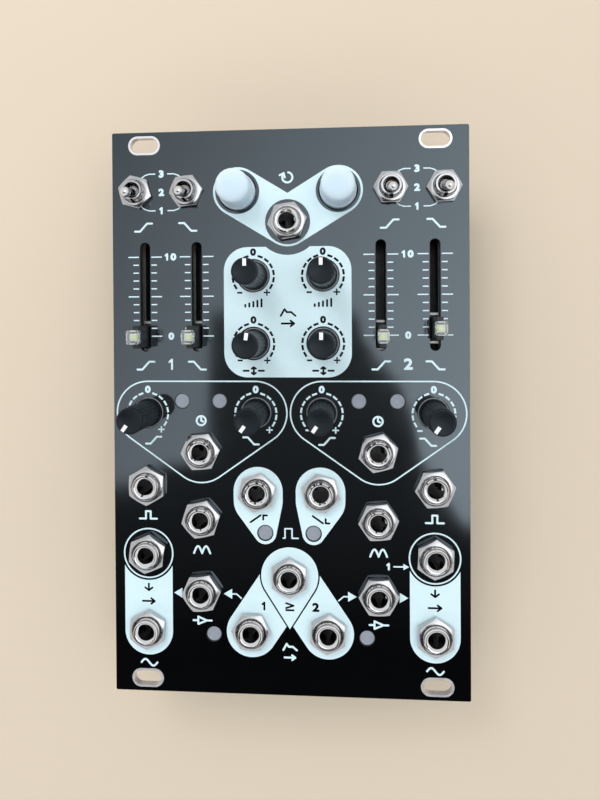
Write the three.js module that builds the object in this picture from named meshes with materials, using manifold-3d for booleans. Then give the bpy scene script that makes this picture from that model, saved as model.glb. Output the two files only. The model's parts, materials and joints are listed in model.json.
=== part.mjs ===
// Eurorack module with two rise and fall channels behind one 16 HP front plate.
// Millimetres. The module lies on its back: +Z points out of the front plate, +Y to its top edge,
// and Z is zero at the rear faces of the power header and the capacitors.

import * as THREE from "three";
import { mergeVertices } from "three/addons/utils/BufferGeometryUtils.js";
import Module from "manifold-3d";

const wasm = await Module();
wasm.setup();

// Front plate
const plateWidth = 80.9;
const plateHeight = 128.5;
const plateThickness = 1.6;
const plateCornerRadius = 0.4;

// Mounting slots, from the plate's edges to the slots' middles
const mountSlotLength = 6.6;
const mountSlotWidth = 3.5;
const mountSlotLeftInset = 7.5;
const mountSlotRightInset = 7.36;
const mountSlotEndInset = 3;

// Circuit board and the space in front of it and behind it
const boardThickness = 1.6;
const boardSideInset = 2.2;
const boardEndInset = 9.2;
const plateSpacing = 10;
const rearPartHeight = 9;

// Clearances
const runningGap = 0.3;
const fitGap = 0.15;
const overrun = 1;

// Jacks
const jackBodyWidth = 9;
const jackBodyLength = 10.5;
const jackBushRadius = 3;
const jackBushProud = 3;
const jackBushChamfer = 0.35;
const jackBoreRadius = 1.8;
const jackBoreFlare = 0.5;
const jackFloorHeight = 1.5;
const jackNutAcrossFlats = 8;
const jackNutHeight = 2;
const jackLugWidth = 2.4;
const jackLugDepth = 0.8;

// Toggle switches
const toggleBodyWidth = 6;
const toggleBodyLength = 9;
const toggleBodyHeight = 8.4;
const toggleBushRadius = 2.4;
const toggleBushProud = 3.3;
const toggleBoreRadius = 1.75;
const toggleSliderGap = 2.95;
const toggleNutAcrossFlats = 7.1;
const toggleNutHeight = 1.8;
const toggleKeyWidth = 0.9;
const toggleKeyDepth = 0.45;
const togglePivotDepth = 1.9;
const toggleTipHeight = 8.3;
const toggleTipRadius = 1.15;
const toggleNeckRadius = 0.8;
const toggleLeanDegrees = 13;

// Slide potentiometers
const sliderBodyWidth = 8;
const sliderBodyHeight = 7.2;
const sliderTravel = 18.1;
const sliderBodyEnds = 14.9;
const sliderSlotWidth = 2.35;
const sliderSlotEndGap = 0.95;
const sliderGrooveDepth = 4.2;
const carriageLength = 7.1;
const carriageDrop = 0.5;
const stalkLength = 5;
const stalkThickness = 1.5;
const stalkProud = 6.5;
const capWidth = 3;
const capLength = 3.2;
const capHeight = 3.2;

// Rotary potentiometers and their knobs
const potBodyWidth = 9.5;
const potBodyLength = 11;
const potBodyHeight = 6.5;
const potHoleRadius = 3.6;
const potCollarWall = 0.35;
const potCollarSink = 0.1;
const knobRadius = 2.85;
const knobProud = 12.4;
const knobFluteDepth = 0.18;
const knobGripStart = 1.2;
const knobEdge = 0.3;
const pointerWidth = 0.78;
const pointerLength = 1.75;
const pointerDepth = 0.3;
const dialHalfDegrees = 145;

// Push buttons
const buttonBodyWidth = 10;
const buttonBodyHeight = 5.4;
const buttonCapRadius = 4.15;
const buttonCapTopRadius = 3.55;
const buttonCapProud = 7.6;
const buttonCapCrown = 0.7;
const buttonCapSkirt = 1.3;
const buttonTravel = 1.2;
const buttonStemRadius = 1.5;
const buttonSocketDepth = 3;

// Indicator lamps
const lampHoleRadius = 1.75;
const lampSink = 0.1;

// Power header
const headerPinRows = 2;
const headerPinColumns = 8;
const headerPitch = 2.54;
const headerPinWidth = 0.64;
const headerLength = 28.1;
const headerWidth = 8.9;
const headerWall = 1.2;
const headerFloor = 2.5;
const headerPinSink = 1;
const headerKeyWidth = 4.5;

// Filter capacitors
const capacitorRadius = 4;
const capacitorBaseWidth = 8.3;
const capacitorBaseHeight = 0.8;
const capacitorNeckRadius = 3.7;
const capacitorNeckHeight = 0.5;
const capacitorEdge = 0.4;

// Chips on the rear of the board
const chipLength = 5;
const chipWidth = 4;
const chipHeight = 1.6;

// Side counts of round shapes
const wideSides = 24;
const knobSides = 16;
const bushSides = 14;
const holeSides = 12;
const slotEndSteps = 6;
const fluteCount = 12;

// Places across the plate, as shares of its width from the middle line
const columnShares = new Map([
  ["outer", 0.403],
  ["inner", 0.248],
  ["gate", 0.089],
  ["envelope", 0.1075],
  ["level", 0.0977],
  ["fallTime", 0.0927],
  ["riseTime", 0.4017],
  ["outerSlider", 0.4067],
  ["innerSlider", 0.2583],
  ["outerToggle", 0.4314],
  ["innerToggle", 0.2853],
  ["button", 0.1415],
  ["outerLamp", 0.3028],
  ["innerLamp", 0.1959],
  ["gateLamp", 0.068],
  ["audioLamp", 0.2157],
]);

// Places up the plate, as shares of its height from the middle line
const rowShares = new Map([
  ["button", 0.3914],
  ["cycle", 0.337],
  ["slider", 0.2066],
  ["level", 0.2428],
  ["offset", 0.123],
  ["time", 0],
  ["timeJack", -0.0677],
  ["trigger", -0.1292],
  ["gate", -0.1389],
  ["follow", -0.1875],
  ["audioIn", -0.2506],
  ["either", -0.2879],
  ["amplifier", -0.3183],
  ["audioOut", -0.386],
  ["envelope", -0.3852],
  ["timeLamp", 0.0208],
  ["gateLamp", -0.2125],
  ["audioLamp", -0.3946],
]);

// Rear parts, as shares of the plate's width and height from its middle
const headerShares = [0, -0.24];
const capacitorShares = [
  ["filter_capacitor_left", -0.25, 0.28],
  ["filter_capacitor_right", 0.25, 0.28],
];
const chipShares = [
  [-0.28, 0.12], [-0.1, 0.12], [0.1, 0.12], [0.28, 0.12],
  [-0.28, -0.04], [-0.1, -0.04], [0.1, -0.04], [0.28, -0.04],
  [-0.34, -0.24], [0.34, -0.24],
];

// Heights of the main faces
const boardRearZ = rearPartHeight;
const boardFrontZ = boardRearZ + boardThickness;
const plateRearZ = boardFrontZ + plateSpacing;
const plateFrontZ = plateRearZ + plateThickness;

// Heights above the board's front face, which carries every control
const plateRearHeight = plateSpacing;
const plateFrontHeight = plateSpacing + plateThickness;

const jackHoleRadius = jackBushRadius + fitGap;
const toggleHoleRadius = toggleBushRadius + fitGap;
const buttonHoleRadius = buttonCapRadius + runningGap;
const sliderBodyLength = sliderTravel + sliderBodyEnds;
const sliderSlotLength = sliderTravel + stalkLength + 2 * sliderSlotEndGap;
const lampRadius = lampHoleRadius - runningGap;

// Finishes of the pieces
const finishes = {
  plate: { color: 0x16181b, roughness: 0.22, metalness: 0 },
  board: { color: 0x1b3a2a, roughness: 0.5, metalness: 0 },
  nickel: { color: 0xc9c9c6, roughness: 0.25, metalness: 1 },
  blackPlastic: { color: 0x1a1b1d, roughness: 0.45, metalness: 0 },
  greySteel: { color: 0x9b9c9c, roughness: 0.4, metalness: 1 },
  clearPlastic: { color: 0xdfe4e2, roughness: 0.15, metalness: 0 },
  whitePlastic: { color: 0xdfe9ea, roughness: 0.35, metalness: 0 },
  aluminium: { color: 0xb7b8b8, roughness: 0.35, metalness: 1 },
};

// Changes a closed geometry into a solid that can be joined and cut
function toSolid(geometry) {
  const bare = geometry.clone();
  bare.deleteAttribute("normal");
  bare.deleteAttribute("uv");
  const welded = mergeVertices(bare);
  const corners = Array.from(welded.index.array);
  const kept = [];
  for (let i = 0; i < corners.length; i += 3) {
    const [a, b, c] = corners.slice(i, i + 3);
    if (a !== b && b !== c && c !== a) {
      kept.push(a, b, c);
    }
  }
  const mesh = new wasm.Mesh({
    numProp: 3,
    vertProperties: new Float32Array(welded.attributes.position.array),
    triVerts: new Uint32Array(kept),
  });
  mesh.merge();
  return new wasm.Manifold(mesh);
}

// Gives a solid back as a geometry
function toGeometry(solid) {
  const mesh = solid.getMesh();
  const geometry = new THREE.BufferGeometry();
  geometry.setAttribute("position", new THREE.BufferAttribute(mesh.vertProperties, 3));
  geometry.setIndex(new THREE.BufferAttribute(mesh.triVerts, 1));
  geometry.computeVertexNormals();
  return geometry;
}

// A box that stands on height z, with its middle at x, y
function block(width, length, height, x, y, z) {
  const geometry = new THREE.BoxGeometry(width, length, height);
  return toSolid(geometry.translate(x, y, z + height / 2));
}

// A round solid about Z, from a profile of [radius, height] that starts and ends on the axis
function turned(profile, sides) {
  const points = profile.map(([radius, height]) => new THREE.Vector2(radius, height));
  return toSolid(new THREE.LatheGeometry(points, sides).rotateX(Math.PI / 2));
}

// A plain cylinder about Z between two heights
function rod(radius, low, high, sides) {
  return turned([[0, low], [radius, low], [radius, high], [0, high]], sides);
}

// A flat outline raised from height z
function raised(shape, height, z) {
  const geometry = new THREE.ExtrudeGeometry(shape, { depth: height, bevelEnabled: false });
  return toSolid(geometry.translate(0, 0, z));
}

// A six-sided nut about Z, with one corner at the given angle
function nut(acrossFlats, height, z, turnDegrees) {
  const cornerRadius = acrossFlats / 2 / Math.cos(Math.PI / 6);
  const outline = new THREE.Shape(circlePoints(0, 0, cornerRadius, 6));
  return raised(outline, height, z).rotate([0, 0, turnDegrees]);
}

// The corners of a round hole or disc
function circlePoints(x, y, radius, sides) {
  const points = [];
  for (let i = 0; i < sides; i += 1) {
    const angle = 2 * Math.PI * i / sides;
    points.push(new THREE.Vector2(x + radius * Math.cos(angle), y + radius * Math.sin(angle)));
  }
  return points;
}

// The corners of a slot with round ends, whose length runs along X, or along Y when upright
function slotPoints(x, y, length, width, upright) {
  const points = [];
  for (const end of [1, -1]) {
    for (let i = 0; i <= slotEndSteps; i += 1) {
      const angle = Math.PI * (i / slotEndSteps - 0.5);
      const along = end * ((length - width) / 2 + width / 2 * Math.cos(angle));
      const across = end * width / 2 * Math.sin(angle);
      points.push(upright
        ? new THREE.Vector2(x - across, y + along)
        : new THREE.Vector2(x + along, y + across));
    }
  }
  return points;
}

// An outline of a rectangle with rounded corners, about the middle of the plate
function roundedRectangle(width, height, radius) {
  const shape = new THREE.Shape();
  const corners = [[1, 1], [-1, 1], [-1, -1], [1, -1]];
  corners.forEach(([signX, signY], index) => {
    const start = index * Math.PI / 2;
    const centreX = signX * (width / 2 - radius);
    const centreY = signY * (height / 2 - radius);
    shape.absarc(centreX, centreY, radius, start, start + Math.PI / 2, false);
  });
  return shape;
}

const columnX = (side, name) => side * columnShares.get(name) * plateWidth;
const rowY = (name) => rowShares.get(name) * plateHeight;

// The toggles stand just above the sliders
const toggleY = rowY("slider") + (sliderBodyLength + toggleBodyLength) / 2 + toggleSliderGap;

// Channel A is on the left and channel B on the right
const channels = [["a", -1], ["b", 1]];

// Jacks of a channel: name, column, row and the turn of the nut on the left and on the right
const channelJacks = [
  ["time_jack", "inner", "timeJack", 5, 15],
  ["trigger_jack", "outer", "trigger", 30, 6],
  ["gate_jack", "gate", "gate", 18, 44],
  ["follow_jack", "inner", "follow", 12, 5],
  ["audio_in_jack", "outer", "audioIn", 23, 27],
  ["amplifier_jack", "inner", "amplifier", 6, 1],
  ["audio_out_jack", "outer", "audioOut", 28, 29],
  ["envelope_jack", "envelope", "envelope", 58, 26],
];

// Jacks on the middle line: name, row and the turn of the nut
const middleJacks = [
  ["cycle_jack", "cycle", 9],
  ["either_jack", "either", 31],
];

// Toggle switches of a channel: name, column on the left and on the right, and nut turns
const channelToggles = [
  ["rise_switch", "outerToggle", "innerToggle", 45, 0],
  ["fall_switch", "innerToggle", "outerToggle", 6, 2],
];

// Sliders of a channel: name, column on the left and on the right, and the share of the travel
// at which each stands
const channelSliderShares = [
  ["rise_slider", "outerSlider", "innerSlider", 0, 0],
  ["fall_slider", "innerSlider", "outerSlider", 0, 0.088],
];

// Knobs of a channel: name, column on the left and on the right, row, and where each stands on
// its dial, from -1 at the left stop to 1 at the right stop
const channelKnobShares = [
  ["level", "level", "level", "level", 0, 0],
  ["offset", "level", "level", "offset", 0, 0],
  ["rise_time", "riseTime", "fallTime", "time", -1, -1],
  ["fall_time", "fallTime", "riseTime", "time", -1, -1],
];

// Lamps of a channel: column and row
const channelLamps = [
  ["outerLamp", "timeLamp"],
  ["innerLamp", "timeLamp"],
  ["gateLamp", "gateLamp"],
  ["audioLamp", "audioLamp"],
];

// The front plate with its mounting slots and a hole for each control and lamp
function plate() {
  const shape = roundedRectangle(plateWidth, plateHeight, plateCornerRadius);
  const addHole = (points) => shape.holes.push(new THREE.Path(points));

  const slotXs = [mountSlotLeftInset - plateWidth / 2, plateWidth / 2 - mountSlotRightInset];
  for (const x of slotXs) {
    for (const sign of [-1, 1]) {
      const y = sign * (plateHeight / 2 - mountSlotEndInset);
      addHole(slotPoints(x, y, mountSlotLength, mountSlotWidth, false));
    }
  }
  for (const [, row] of middleJacks) {
    addHole(circlePoints(0, rowY(row), jackHoleRadius, holeSides));
  }
  for (const [, side] of channels) {
    for (const [, column, row] of channelJacks) {
      addHole(circlePoints(columnX(side, column), rowY(row), jackHoleRadius, holeSides));
    }
    for (const [, column] of channelToggles) {
      addHole(circlePoints(columnX(side, column), toggleY, toggleHoleRadius, holeSides));
    }
    for (const [, column] of channelSliderShares) {
      const x = columnX(side, column);
      addHole(slotPoints(x, rowY("slider"), sliderSlotLength, sliderSlotWidth, true));
    }
    for (const [, column, , row] of channelKnobShares) {
      addHole(circlePoints(columnX(side, column), rowY(row), potHoleRadius, knobSides));
    }
    for (const [column, row] of channelLamps) {
      addHole(circlePoints(columnX(side, column), rowY(row), lampHoleRadius, bushSides));
    }
    const buttonX = columnX(side, "button");
    addHole(circlePoints(buttonX, rowY("button"), buttonHoleRadius, wideSides));
  }
  return raised(shape, plateThickness, 0);
}

// The board with its lamps in front and its chips behind, all soldered to it
function board() {
  const width = plateWidth - 2 * boardSideInset;
  const length = plateHeight - 2 * boardEndInset;
  const pieces = [block(width, length, boardThickness, 0, 0, 0)];
  for (const [, side] of channels) {
    for (const [column, row] of channelLamps) {
      const top = boardThickness + plateFrontHeight - lampSink;
      const lamp = rod(lampRadius, boardThickness / 2, top, bushSides);
      pieces.push(lamp.translate([columnX(side, column), rowY(row), 0]));
    }
  }
  for (const [shareX, shareY] of chipShares) {
    const x = shareX * plateWidth;
    const y = shareY * plateHeight;
    const depth = chipHeight + boardThickness / 2;
    pieces.push(block(chipLength, chipWidth, depth, x, y, -chipHeight));
  }
  return wasm.Manifold.union(pieces);
}

// A jack whose bush reaches through the plate, with its nut run down onto the plate
function jack(nutTurn) {
  const bushTop = plateFrontHeight + jackBushProud;
  const bush = turned([
    [0, jackFloorHeight],
    [jackBushRadius, jackFloorHeight],
    [jackBushRadius, bushTop - jackBushChamfer],
    [jackBushRadius - jackBushChamfer, bushTop],
    [0, bushTop],
  ], bushSides);
  const bore = turned([
    [0, jackFloorHeight],
    [jackBoreRadius, jackFloorHeight],
    [jackBoreRadius, bushTop - jackBoreFlare],
    [jackBoreRadius + jackBoreFlare, bushTop],
    [jackBoreRadius + jackBoreFlare, bushTop + overrun],
    [0, bushTop + overrun],
  ], bushSides);
  return block(jackBodyWidth, jackBodyLength, plateRearHeight, 0, 0, 0)
    .add(block(jackLugWidth, jackBodyLength + 2 * jackLugDepth, plateRearHeight / 2, 0, 0, 0))
    .add(bush)
    .add(nut(jackNutAcrossFlats, jackNutHeight, plateFrontHeight, nutTurn))
    .subtract(bore);
}

// A toggle switch's body, with its threaded bush, keyway and nut
function toggleBody(nutTurn) {
  const bushTop = plateFrontHeight + toggleBushProud;
  const boreFloor = bushTop - togglePivotDepth - toggleBoreRadius - runningGap;
  const bush = rod(toggleBushRadius, toggleBodyHeight / 2, bushTop, bushSides);
  const bore = rod(toggleBoreRadius, boreFloor, bushTop + overrun, bushSides);
  const keyHeight = toggleBushProud - toggleNutHeight + overrun;
  const keyY = -toggleBushRadius + toggleKeyDepth - overrun / 2;
  const keyway = block(toggleKeyWidth, overrun, keyHeight, 0, keyY, plateFrontHeight + toggleNutHeight);
  return block(toggleBodyWidth, toggleBodyLength, toggleBodyHeight, 0, 0, 0)
    .add(bush)
    .add(nut(toggleNutAcrossFlats, toggleNutHeight, plateFrontHeight, nutTurn))
    .subtract(bore)
    .subtract(keyway);
}

// A toggle lever about its pivot: a ball in the bush, a thin neck and a round tip
function toggleLever() {
  const ballRadius = toggleBoreRadius - runningGap;
  const tipEnd = toggleTipHeight - (toggleBushProud - togglePivotDepth);
  const tipCentre = tipEnd - toggleTipRadius;
  const profile = [];
  const neckAngle = Math.asin(toggleNeckRadius / ballRadius);
  const ballSteps = 4;
  for (let i = 0; i <= ballSteps; i += 1) {
    const angle = Math.PI - (Math.PI - neckAngle) * i / ballSteps;
    profile.push([ballRadius * Math.sin(angle), ballRadius * Math.cos(angle)]);
  }
  const tipSteps = 3;
  for (let i = 0; i <= tipSteps; i += 1) {
    const angle = Math.PI / 2 * (1 - i / tipSteps);
    profile.push([toggleTipRadius * Math.sin(angle), tipCentre + toggleTipRadius * Math.cos(angle)]);
  }
  profile[0][0] = 0;
  profile[profile.length - 1][0] = 0;
  return turned(profile, holeSides);
}

// A slide potentiometer's body, with the groove that its carriage runs in
function sliderBody() {
  const grooveWidth = sliderSlotWidth + 2 * fitGap;
  const grooveLength = sliderTravel + carriageLength + 2 * runningGap;
  const floor = sliderBodyHeight - sliderGrooveDepth;
  return block(sliderBodyWidth, sliderBodyLength, sliderBodyHeight, 0, 0, 0)
    .subtract(block(grooveWidth, grooveLength, sliderGrooveDepth + overrun, 0, 0, floor));
}

// A slider's moving piece: the carriage in the groove, the stalk through the plate and the cap
function sliderLever() {
  const carriageWidth = sliderSlotWidth - runningGap;
  const carriageFoot = sliderBodyHeight - sliderGrooveDepth + runningGap;
  const carriageTop = plateRearHeight - carriageDrop;
  const stalkTop = plateFrontHeight + stalkProud;
  return block(carriageWidth, carriageLength, carriageTop - carriageFoot, 0, 0, carriageFoot)
    .add(block(stalkThickness, stalkLength, stalkTop - carriageFoot, 0, 0, carriageFoot))
    .add(block(capWidth, capLength, capHeight, 0, 0, stalkTop));
}

// A rotary potentiometer, with the collar that guides the knob in its hole in the plate
function potBody() {
  const collarRadius = potHoleRadius - fitGap;
  const collarTop = plateFrontHeight - potCollarSink;
  return block(potBodyWidth, potBodyLength, potBodyHeight, 0, 0, 0)
    .add(rod(collarRadius, potBodyHeight / 2, collarTop, knobSides))
    .subtract(rod(collarRadius - potCollarWall, potBodyHeight, collarTop + overrun, knobSides));
}

// A knob: a round shank in the collar, a fluted grip and a groove for the pointer line
function knob() {
  const top = plateFrontHeight + knobProud;
  const coreRadius = knobRadius - knobFluteDepth;
  const core = turned([
    [0, potBodyHeight + runningGap],
    [knobRadius, potBodyHeight + runningGap],
    [knobRadius, plateFrontHeight + knobGripStart],
    [coreRadius, plateFrontHeight + knobGripStart],
    [coreRadius, top - knobEdge],
    [coreRadius - knobEdge, top],
    [0, top],
  ], knobSides);
  const outline = [];
  for (let i = 0; i < 2 * fluteCount; i += 1) {
    const angle = Math.PI * (i + 0.5) / fluteCount;
    const radius = i % 2 === 0 ? knobRadius : knobRadius - knobFluteDepth;
    outline.push(new THREE.Vector2(radius * Math.cos(angle), radius * Math.sin(angle)));
  }
  const gripHeight = knobProud - knobGripStart - knobEdge;
  const grip = raised(new THREE.Shape(outline), gripHeight, plateFrontHeight + knobGripStart);
  const grooveY = knobRadius - pointerLength + (pointerLength + overrun) / 2;
  const grooveHeight = pointerDepth + overrun;
  const groove = block(pointerWidth, pointerLength + overrun, grooveHeight, 0, grooveY, top - pointerDepth);
  return core.add(grip).subtract(groove);
}

// A push button's switch, with the socket for the cap's stem
function buttonBody() {
  const floor = buttonBodyHeight - buttonSocketDepth;
  return block(buttonBodyWidth, buttonBodyWidth, buttonBodyHeight, 0, 0, 0)
    .subtract(rod(buttonStemRadius + runningGap, floor, buttonBodyHeight + overrun, holeSides));
}

// A push button's domed cap on its stem
function buttonCap() {
  const skirtFoot = plateRearHeight - buttonCapSkirt;
  const top = plateFrontHeight + buttonCapProud;
  const stemFoot = buttonBodyHeight - buttonSocketDepth + buttonTravel + runningGap;
  return turned([
    [0, stemFoot],
    [buttonStemRadius, stemFoot],
    [buttonStemRadius, skirtFoot],
    [buttonCapRadius, skirtFoot],
    [buttonCapRadius, plateFrontHeight + buttonTravel],
    [buttonCapTopRadius + (buttonCapRadius - buttonCapTopRadius) / 4, top - 2 * buttonCapCrown],
    [buttonCapTopRadius, top - buttonCapCrown],
    [buttonCapTopRadius - buttonCapCrown, top - buttonCapCrown / 4],
    [0, top],
  ], wideSides);
}

// The shrouded power header, which hangs below height zero
function header() {
  const cavityLength = headerLength - 2 * headerWall;
  const cavityWidth = headerWidth - 2 * headerWall;
  const depth = rearPartHeight - headerFloor;
  const keyY = (cavityWidth + headerWall) / 2;
  let solid = block(headerLength, headerWidth, rearPartHeight, 0, 0, -rearPartHeight)
    .subtract(block(cavityLength, cavityWidth, depth + overrun, 0, 0, -rearPartHeight - overrun))
    .subtract(block(headerKeyWidth, headerWall + overrun, depth + overrun, 0, keyY,
      -rearPartHeight - overrun));
  const pinHeight = rearPartHeight - headerPinSink - headerFloor / 2;
  for (let row = 0; row < headerPinRows; row += 1) {
    for (let column = 0; column < headerPinColumns; column += 1) {
      const x = (column - (headerPinColumns - 1) / 2) * headerPitch;
      const y = (row - (headerPinRows - 1) / 2) * headerPitch;
      const z = -rearPartHeight + headerPinSink;
      solid = solid.add(block(headerPinWidth, headerPinWidth, pinHeight, x, y, z));
    }
  }
  return solid;
}

// A filter capacitor: a round can on a square base, hanging below height zero
function capacitor() {
  const can = turned([
    [0, -rearPartHeight],
    [capacitorRadius - capacitorEdge, -rearPartHeight],
    [capacitorRadius, -rearPartHeight + capacitorEdge],
    [capacitorRadius, -capacitorBaseHeight - capacitorNeckHeight],
    [capacitorNeckRadius, -capacitorBaseHeight - capacitorNeckHeight / 2],
    [capacitorNeckRadius, -capacitorBaseHeight / 2],
    [0, -capacitorBaseHeight / 2],
  ], knobSides);
  const base = block(capacitorBaseWidth, capacitorBaseWidth, capacitorBaseHeight, 0, 0, -capacitorBaseHeight);
  return can.add(base);
}

const eurorackModule = new THREE.Group();
eurorackModule.name = "eurorack_module";

// Adds a named mesh with its own material to a group
function addPiece(parent, name, solid, finish) {
  const mesh = new THREE.Mesh(toGeometry(solid), new THREE.MeshStandardMaterial(finishes[finish]));
  mesh.name = name;
  parent.add(mesh);
  return mesh;
}

// Adds a group that stands on the board's front face at a place of the plate
function addPlace(x, y) {
  const place = new THREE.Group();
  place.position.set(x, y, boardFrontZ);
  eurorackModule.add(place);
  return place;
}

addPiece(eurorackModule, "faceplate", plate(), "plate").position.z = plateRearZ;
addPiece(eurorackModule, "circuit_board", board(), "board").position.z = boardRearZ;

const headerPiece = addPiece(eurorackModule, "power_header", header(), "blackPlastic");
headerPiece.position.set(headerShares[0] * plateWidth, headerShares[1] * plateHeight, boardRearZ);
for (const [name, shareX, shareY] of capacitorShares) {
  const piece = addPiece(eurorackModule, name, capacitor(), "aluminium");
  piece.position.set(shareX * plateWidth, shareY * plateHeight, boardRearZ);
}

for (const [name, row, nutTurn] of middleJacks) {
  addPiece(addPlace(0, rowY(row)), name, jack(nutTurn), "nickel");
}

channels.forEach(([channel, side], index) => {
  for (const [name, column, row, ...nutTurns] of channelJacks) {
    const place = addPlace(columnX(side, column), rowY(row));
    addPiece(place, `${channel}_${name}`, jack(nutTurns[index]), "nickel");
  }

  for (const [name, leftColumn, rightColumn, ...nutTurns] of channelToggles) {
    const column = [leftColumn, rightColumn][index];
    const place = addPlace(columnX(side, column), toggleY);
    addPiece(place, `${channel}_${name}_body`, toggleBody(nutTurns[index]), "greySteel");
    const lever = addPiece(place, `${channel}_${name}_lever`, toggleLever(), "nickel");
    lever.position.z = plateFrontHeight + toggleBushProud - togglePivotDepth;
    lever.rotation.x = THREE.MathUtils.degToRad(toggleLeanDegrees);
  }

  for (const [name, leftColumn, rightColumn, ...standShares] of channelSliderShares) {
    const column = [leftColumn, rightColumn][index];
    const place = addPlace(columnX(side, column), rowY("slider"));
    addPiece(place, `${channel}_${name}_body`, sliderBody(), "greySteel");
    const lever = addPiece(place, `${channel}_${name}_lever`, sliderLever(), "clearPlastic");
    lever.position.y = (standShares[index] - 0.5) * sliderTravel;
  }

  for (const [name, leftColumn, rightColumn, row, ...dialShares] of channelKnobShares) {
    const column = [leftColumn, rightColumn][index];
    const place = addPlace(columnX(side, column), rowY(row));
    addPiece(place, `${channel}_${name}_pot`, potBody(), "greySteel");
    const turning = addPiece(place, `${channel}_${name}_knob`, knob(), "blackPlastic");
    turning.rotation.z = -THREE.MathUtils.degToRad(dialShares[index] * dialHalfDegrees);
  }

  const place = addPlace(columnX(side, "button"), rowY("button"));
  addPiece(place, `${channel}_cycle_button_body`, buttonBody(), "blackPlastic");
  addPiece(place, `${channel}_cycle_button_cap`, buttonCap(), "whitePlastic");
});

export default eurorackModule;
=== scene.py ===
"""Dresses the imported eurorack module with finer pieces, materials, light and the camera.

All lengths are in millimetres, and MM turns them into Blender's metres where a mesh or a place is
made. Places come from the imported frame, and a piece is modelled about its own place.
"""

import json
import math
import random

import bpy
from mathutils import Matrix, Vector
from mathutils.geometry import convex_hull_2d, delaunay_2d_cdt, interpolate_bezier


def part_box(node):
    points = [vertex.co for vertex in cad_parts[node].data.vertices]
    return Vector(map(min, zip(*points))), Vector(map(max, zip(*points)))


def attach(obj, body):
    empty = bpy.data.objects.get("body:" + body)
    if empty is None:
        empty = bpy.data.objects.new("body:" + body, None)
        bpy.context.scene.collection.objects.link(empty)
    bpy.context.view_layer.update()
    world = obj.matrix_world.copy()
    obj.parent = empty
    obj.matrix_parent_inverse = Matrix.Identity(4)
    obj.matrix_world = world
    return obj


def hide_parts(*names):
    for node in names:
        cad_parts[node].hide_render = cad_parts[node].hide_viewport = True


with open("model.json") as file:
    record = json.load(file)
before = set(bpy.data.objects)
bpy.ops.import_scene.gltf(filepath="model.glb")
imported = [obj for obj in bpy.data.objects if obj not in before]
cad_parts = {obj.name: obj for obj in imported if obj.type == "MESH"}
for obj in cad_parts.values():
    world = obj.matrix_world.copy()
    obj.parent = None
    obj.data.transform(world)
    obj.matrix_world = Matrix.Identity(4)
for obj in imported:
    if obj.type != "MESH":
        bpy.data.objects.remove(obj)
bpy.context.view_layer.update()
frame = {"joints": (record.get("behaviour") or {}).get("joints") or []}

MM = 0.001
BODY = "module_body"
SHARP_ANGLE = math.radians(35)
random.seed(16)

# Clearances between pieces of the dressed model
HAIR = 0.02
RUNNING_GAP = 0.3

# Front plate
PLATE_CORNER = 0.4
PLATE_EDGE = 0.12
PRINT_HEIGHT = 0.02
PRINT_SINK = 0.01
SLOT_LENGTH = 6.6
SLOT_WIDTH = 3.5
SLOT_INSET_LEFT = 7.5
SLOT_INSET_RIGHT = 7.36
SLOT_INSET_END = 3.0
SLOT_PLATING = 0.4
SLOT_SLEEVE = 0.05
JACK_HOLE = 3.15
TOGGLE_HOLE = 2.55
BUTTON_HOLE = 4.45
POT_HOLE = 3.6
LAMP_HOLE = 1.75
SLIDER_SLOT_LENGTH = 25.0
SLIDER_SLOT_WIDTH = 2.35

# Jacks
JACK_WIDTH = 9.0
JACK_LENGTH = 10.5
JACK_BUSH = 3.0
JACK_BUSH_PROUD = 3.0
JACK_BORE = 1.8
JACK_FLARE = 0.5
JACK_NUT_FLATS = 7.85
JACK_NUT_HEIGHT = 1.9
JACK_FLOOR = 1.5

# Toggle switches
TOGGLE_WIDTH = 6.0
TOGGLE_LENGTH = 9.0
TOGGLE_HEIGHT = 8.4
TOGGLE_BUSH = 2.4
TOGGLE_BUSH_PROUD = 3.3
TOGGLE_BORE = 1.75
TOGGLE_NUT_FLATS = 6.8
TOGGLE_NUT_HEIGHT = 1.5
TOGGLE_KEY_WIDTH = 0.9
TOGGLE_KEY_DEPTH = 0.45
TOGGLE_LEAN = math.radians(13)
TOGGLE_BALL = 1.45
TOGGLE_NECK = 0.8
TOGGLE_TIP = 1.15

# Slide potentiometers
GROOVE_WIDTH = 2.65
GROOVE_LENGTH = 25.8
GROOVE_DEPTH = 4.2
COVER_SHEET = 0.5
STALK_LENGTH = 5.0
STALK_THICKNESS = 1.5
CAP_WIDTH = 2.4
CAP_LENGTH = 3.1
CAP_HEIGHT = 3.0
CARRIAGE_CLIP = 0.7

# Knobs and their potentiometers
POT_HEIGHT = 6.5
COLLAR_RADIUS = 3.5
COLLAR_WALL = 0.2
KNOB_RADIUS = 2.85
KNOB_FLANGE_RADIUS = 3.14
KNOB_FLANGE_GAP = 0.12
KNOB_GRIP_START = 1.2
FLUTES = 20
KNOB_SIDES = 160
FLUTE_DEPTH = 0.18
POINTER_WIDTH = 0.78

# Push buttons
BUTTON_RADIUS = 4.15
BUTTON_TOP_RADIUS = 3.66
BUTTON_STEM = 1.5

# Lamps, header, capacitors and chips
LAMP_RADIUS = 1.68
HEADER_WALL = 1.2
HEADER_FLOOR = 2.5
PIN_PITCH = 2.54
PIN_WIDTH = 0.64
PIN_SINK = 1.0
PIN_COLUMNS = 8
PIN_ROWS = 2
HEADER_KEY = 4.5
CAPACITOR_RADIUS = 4.0
CAPACITOR_BASE = 8.3
CHIP_LENGTH = 5.0
CHIP_WIDTH = 4.0
CHIP_HEIGHT = 1.6


# Places in the frame

def node_box(node):
    low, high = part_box(node)
    return low / MM, high / MM


def extents(node):
    """Width, length, lowest and highest level of a node's box."""
    low, high = node_box(node)
    return high.x - low.x, high.y - low.y, low.z, high.z


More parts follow.
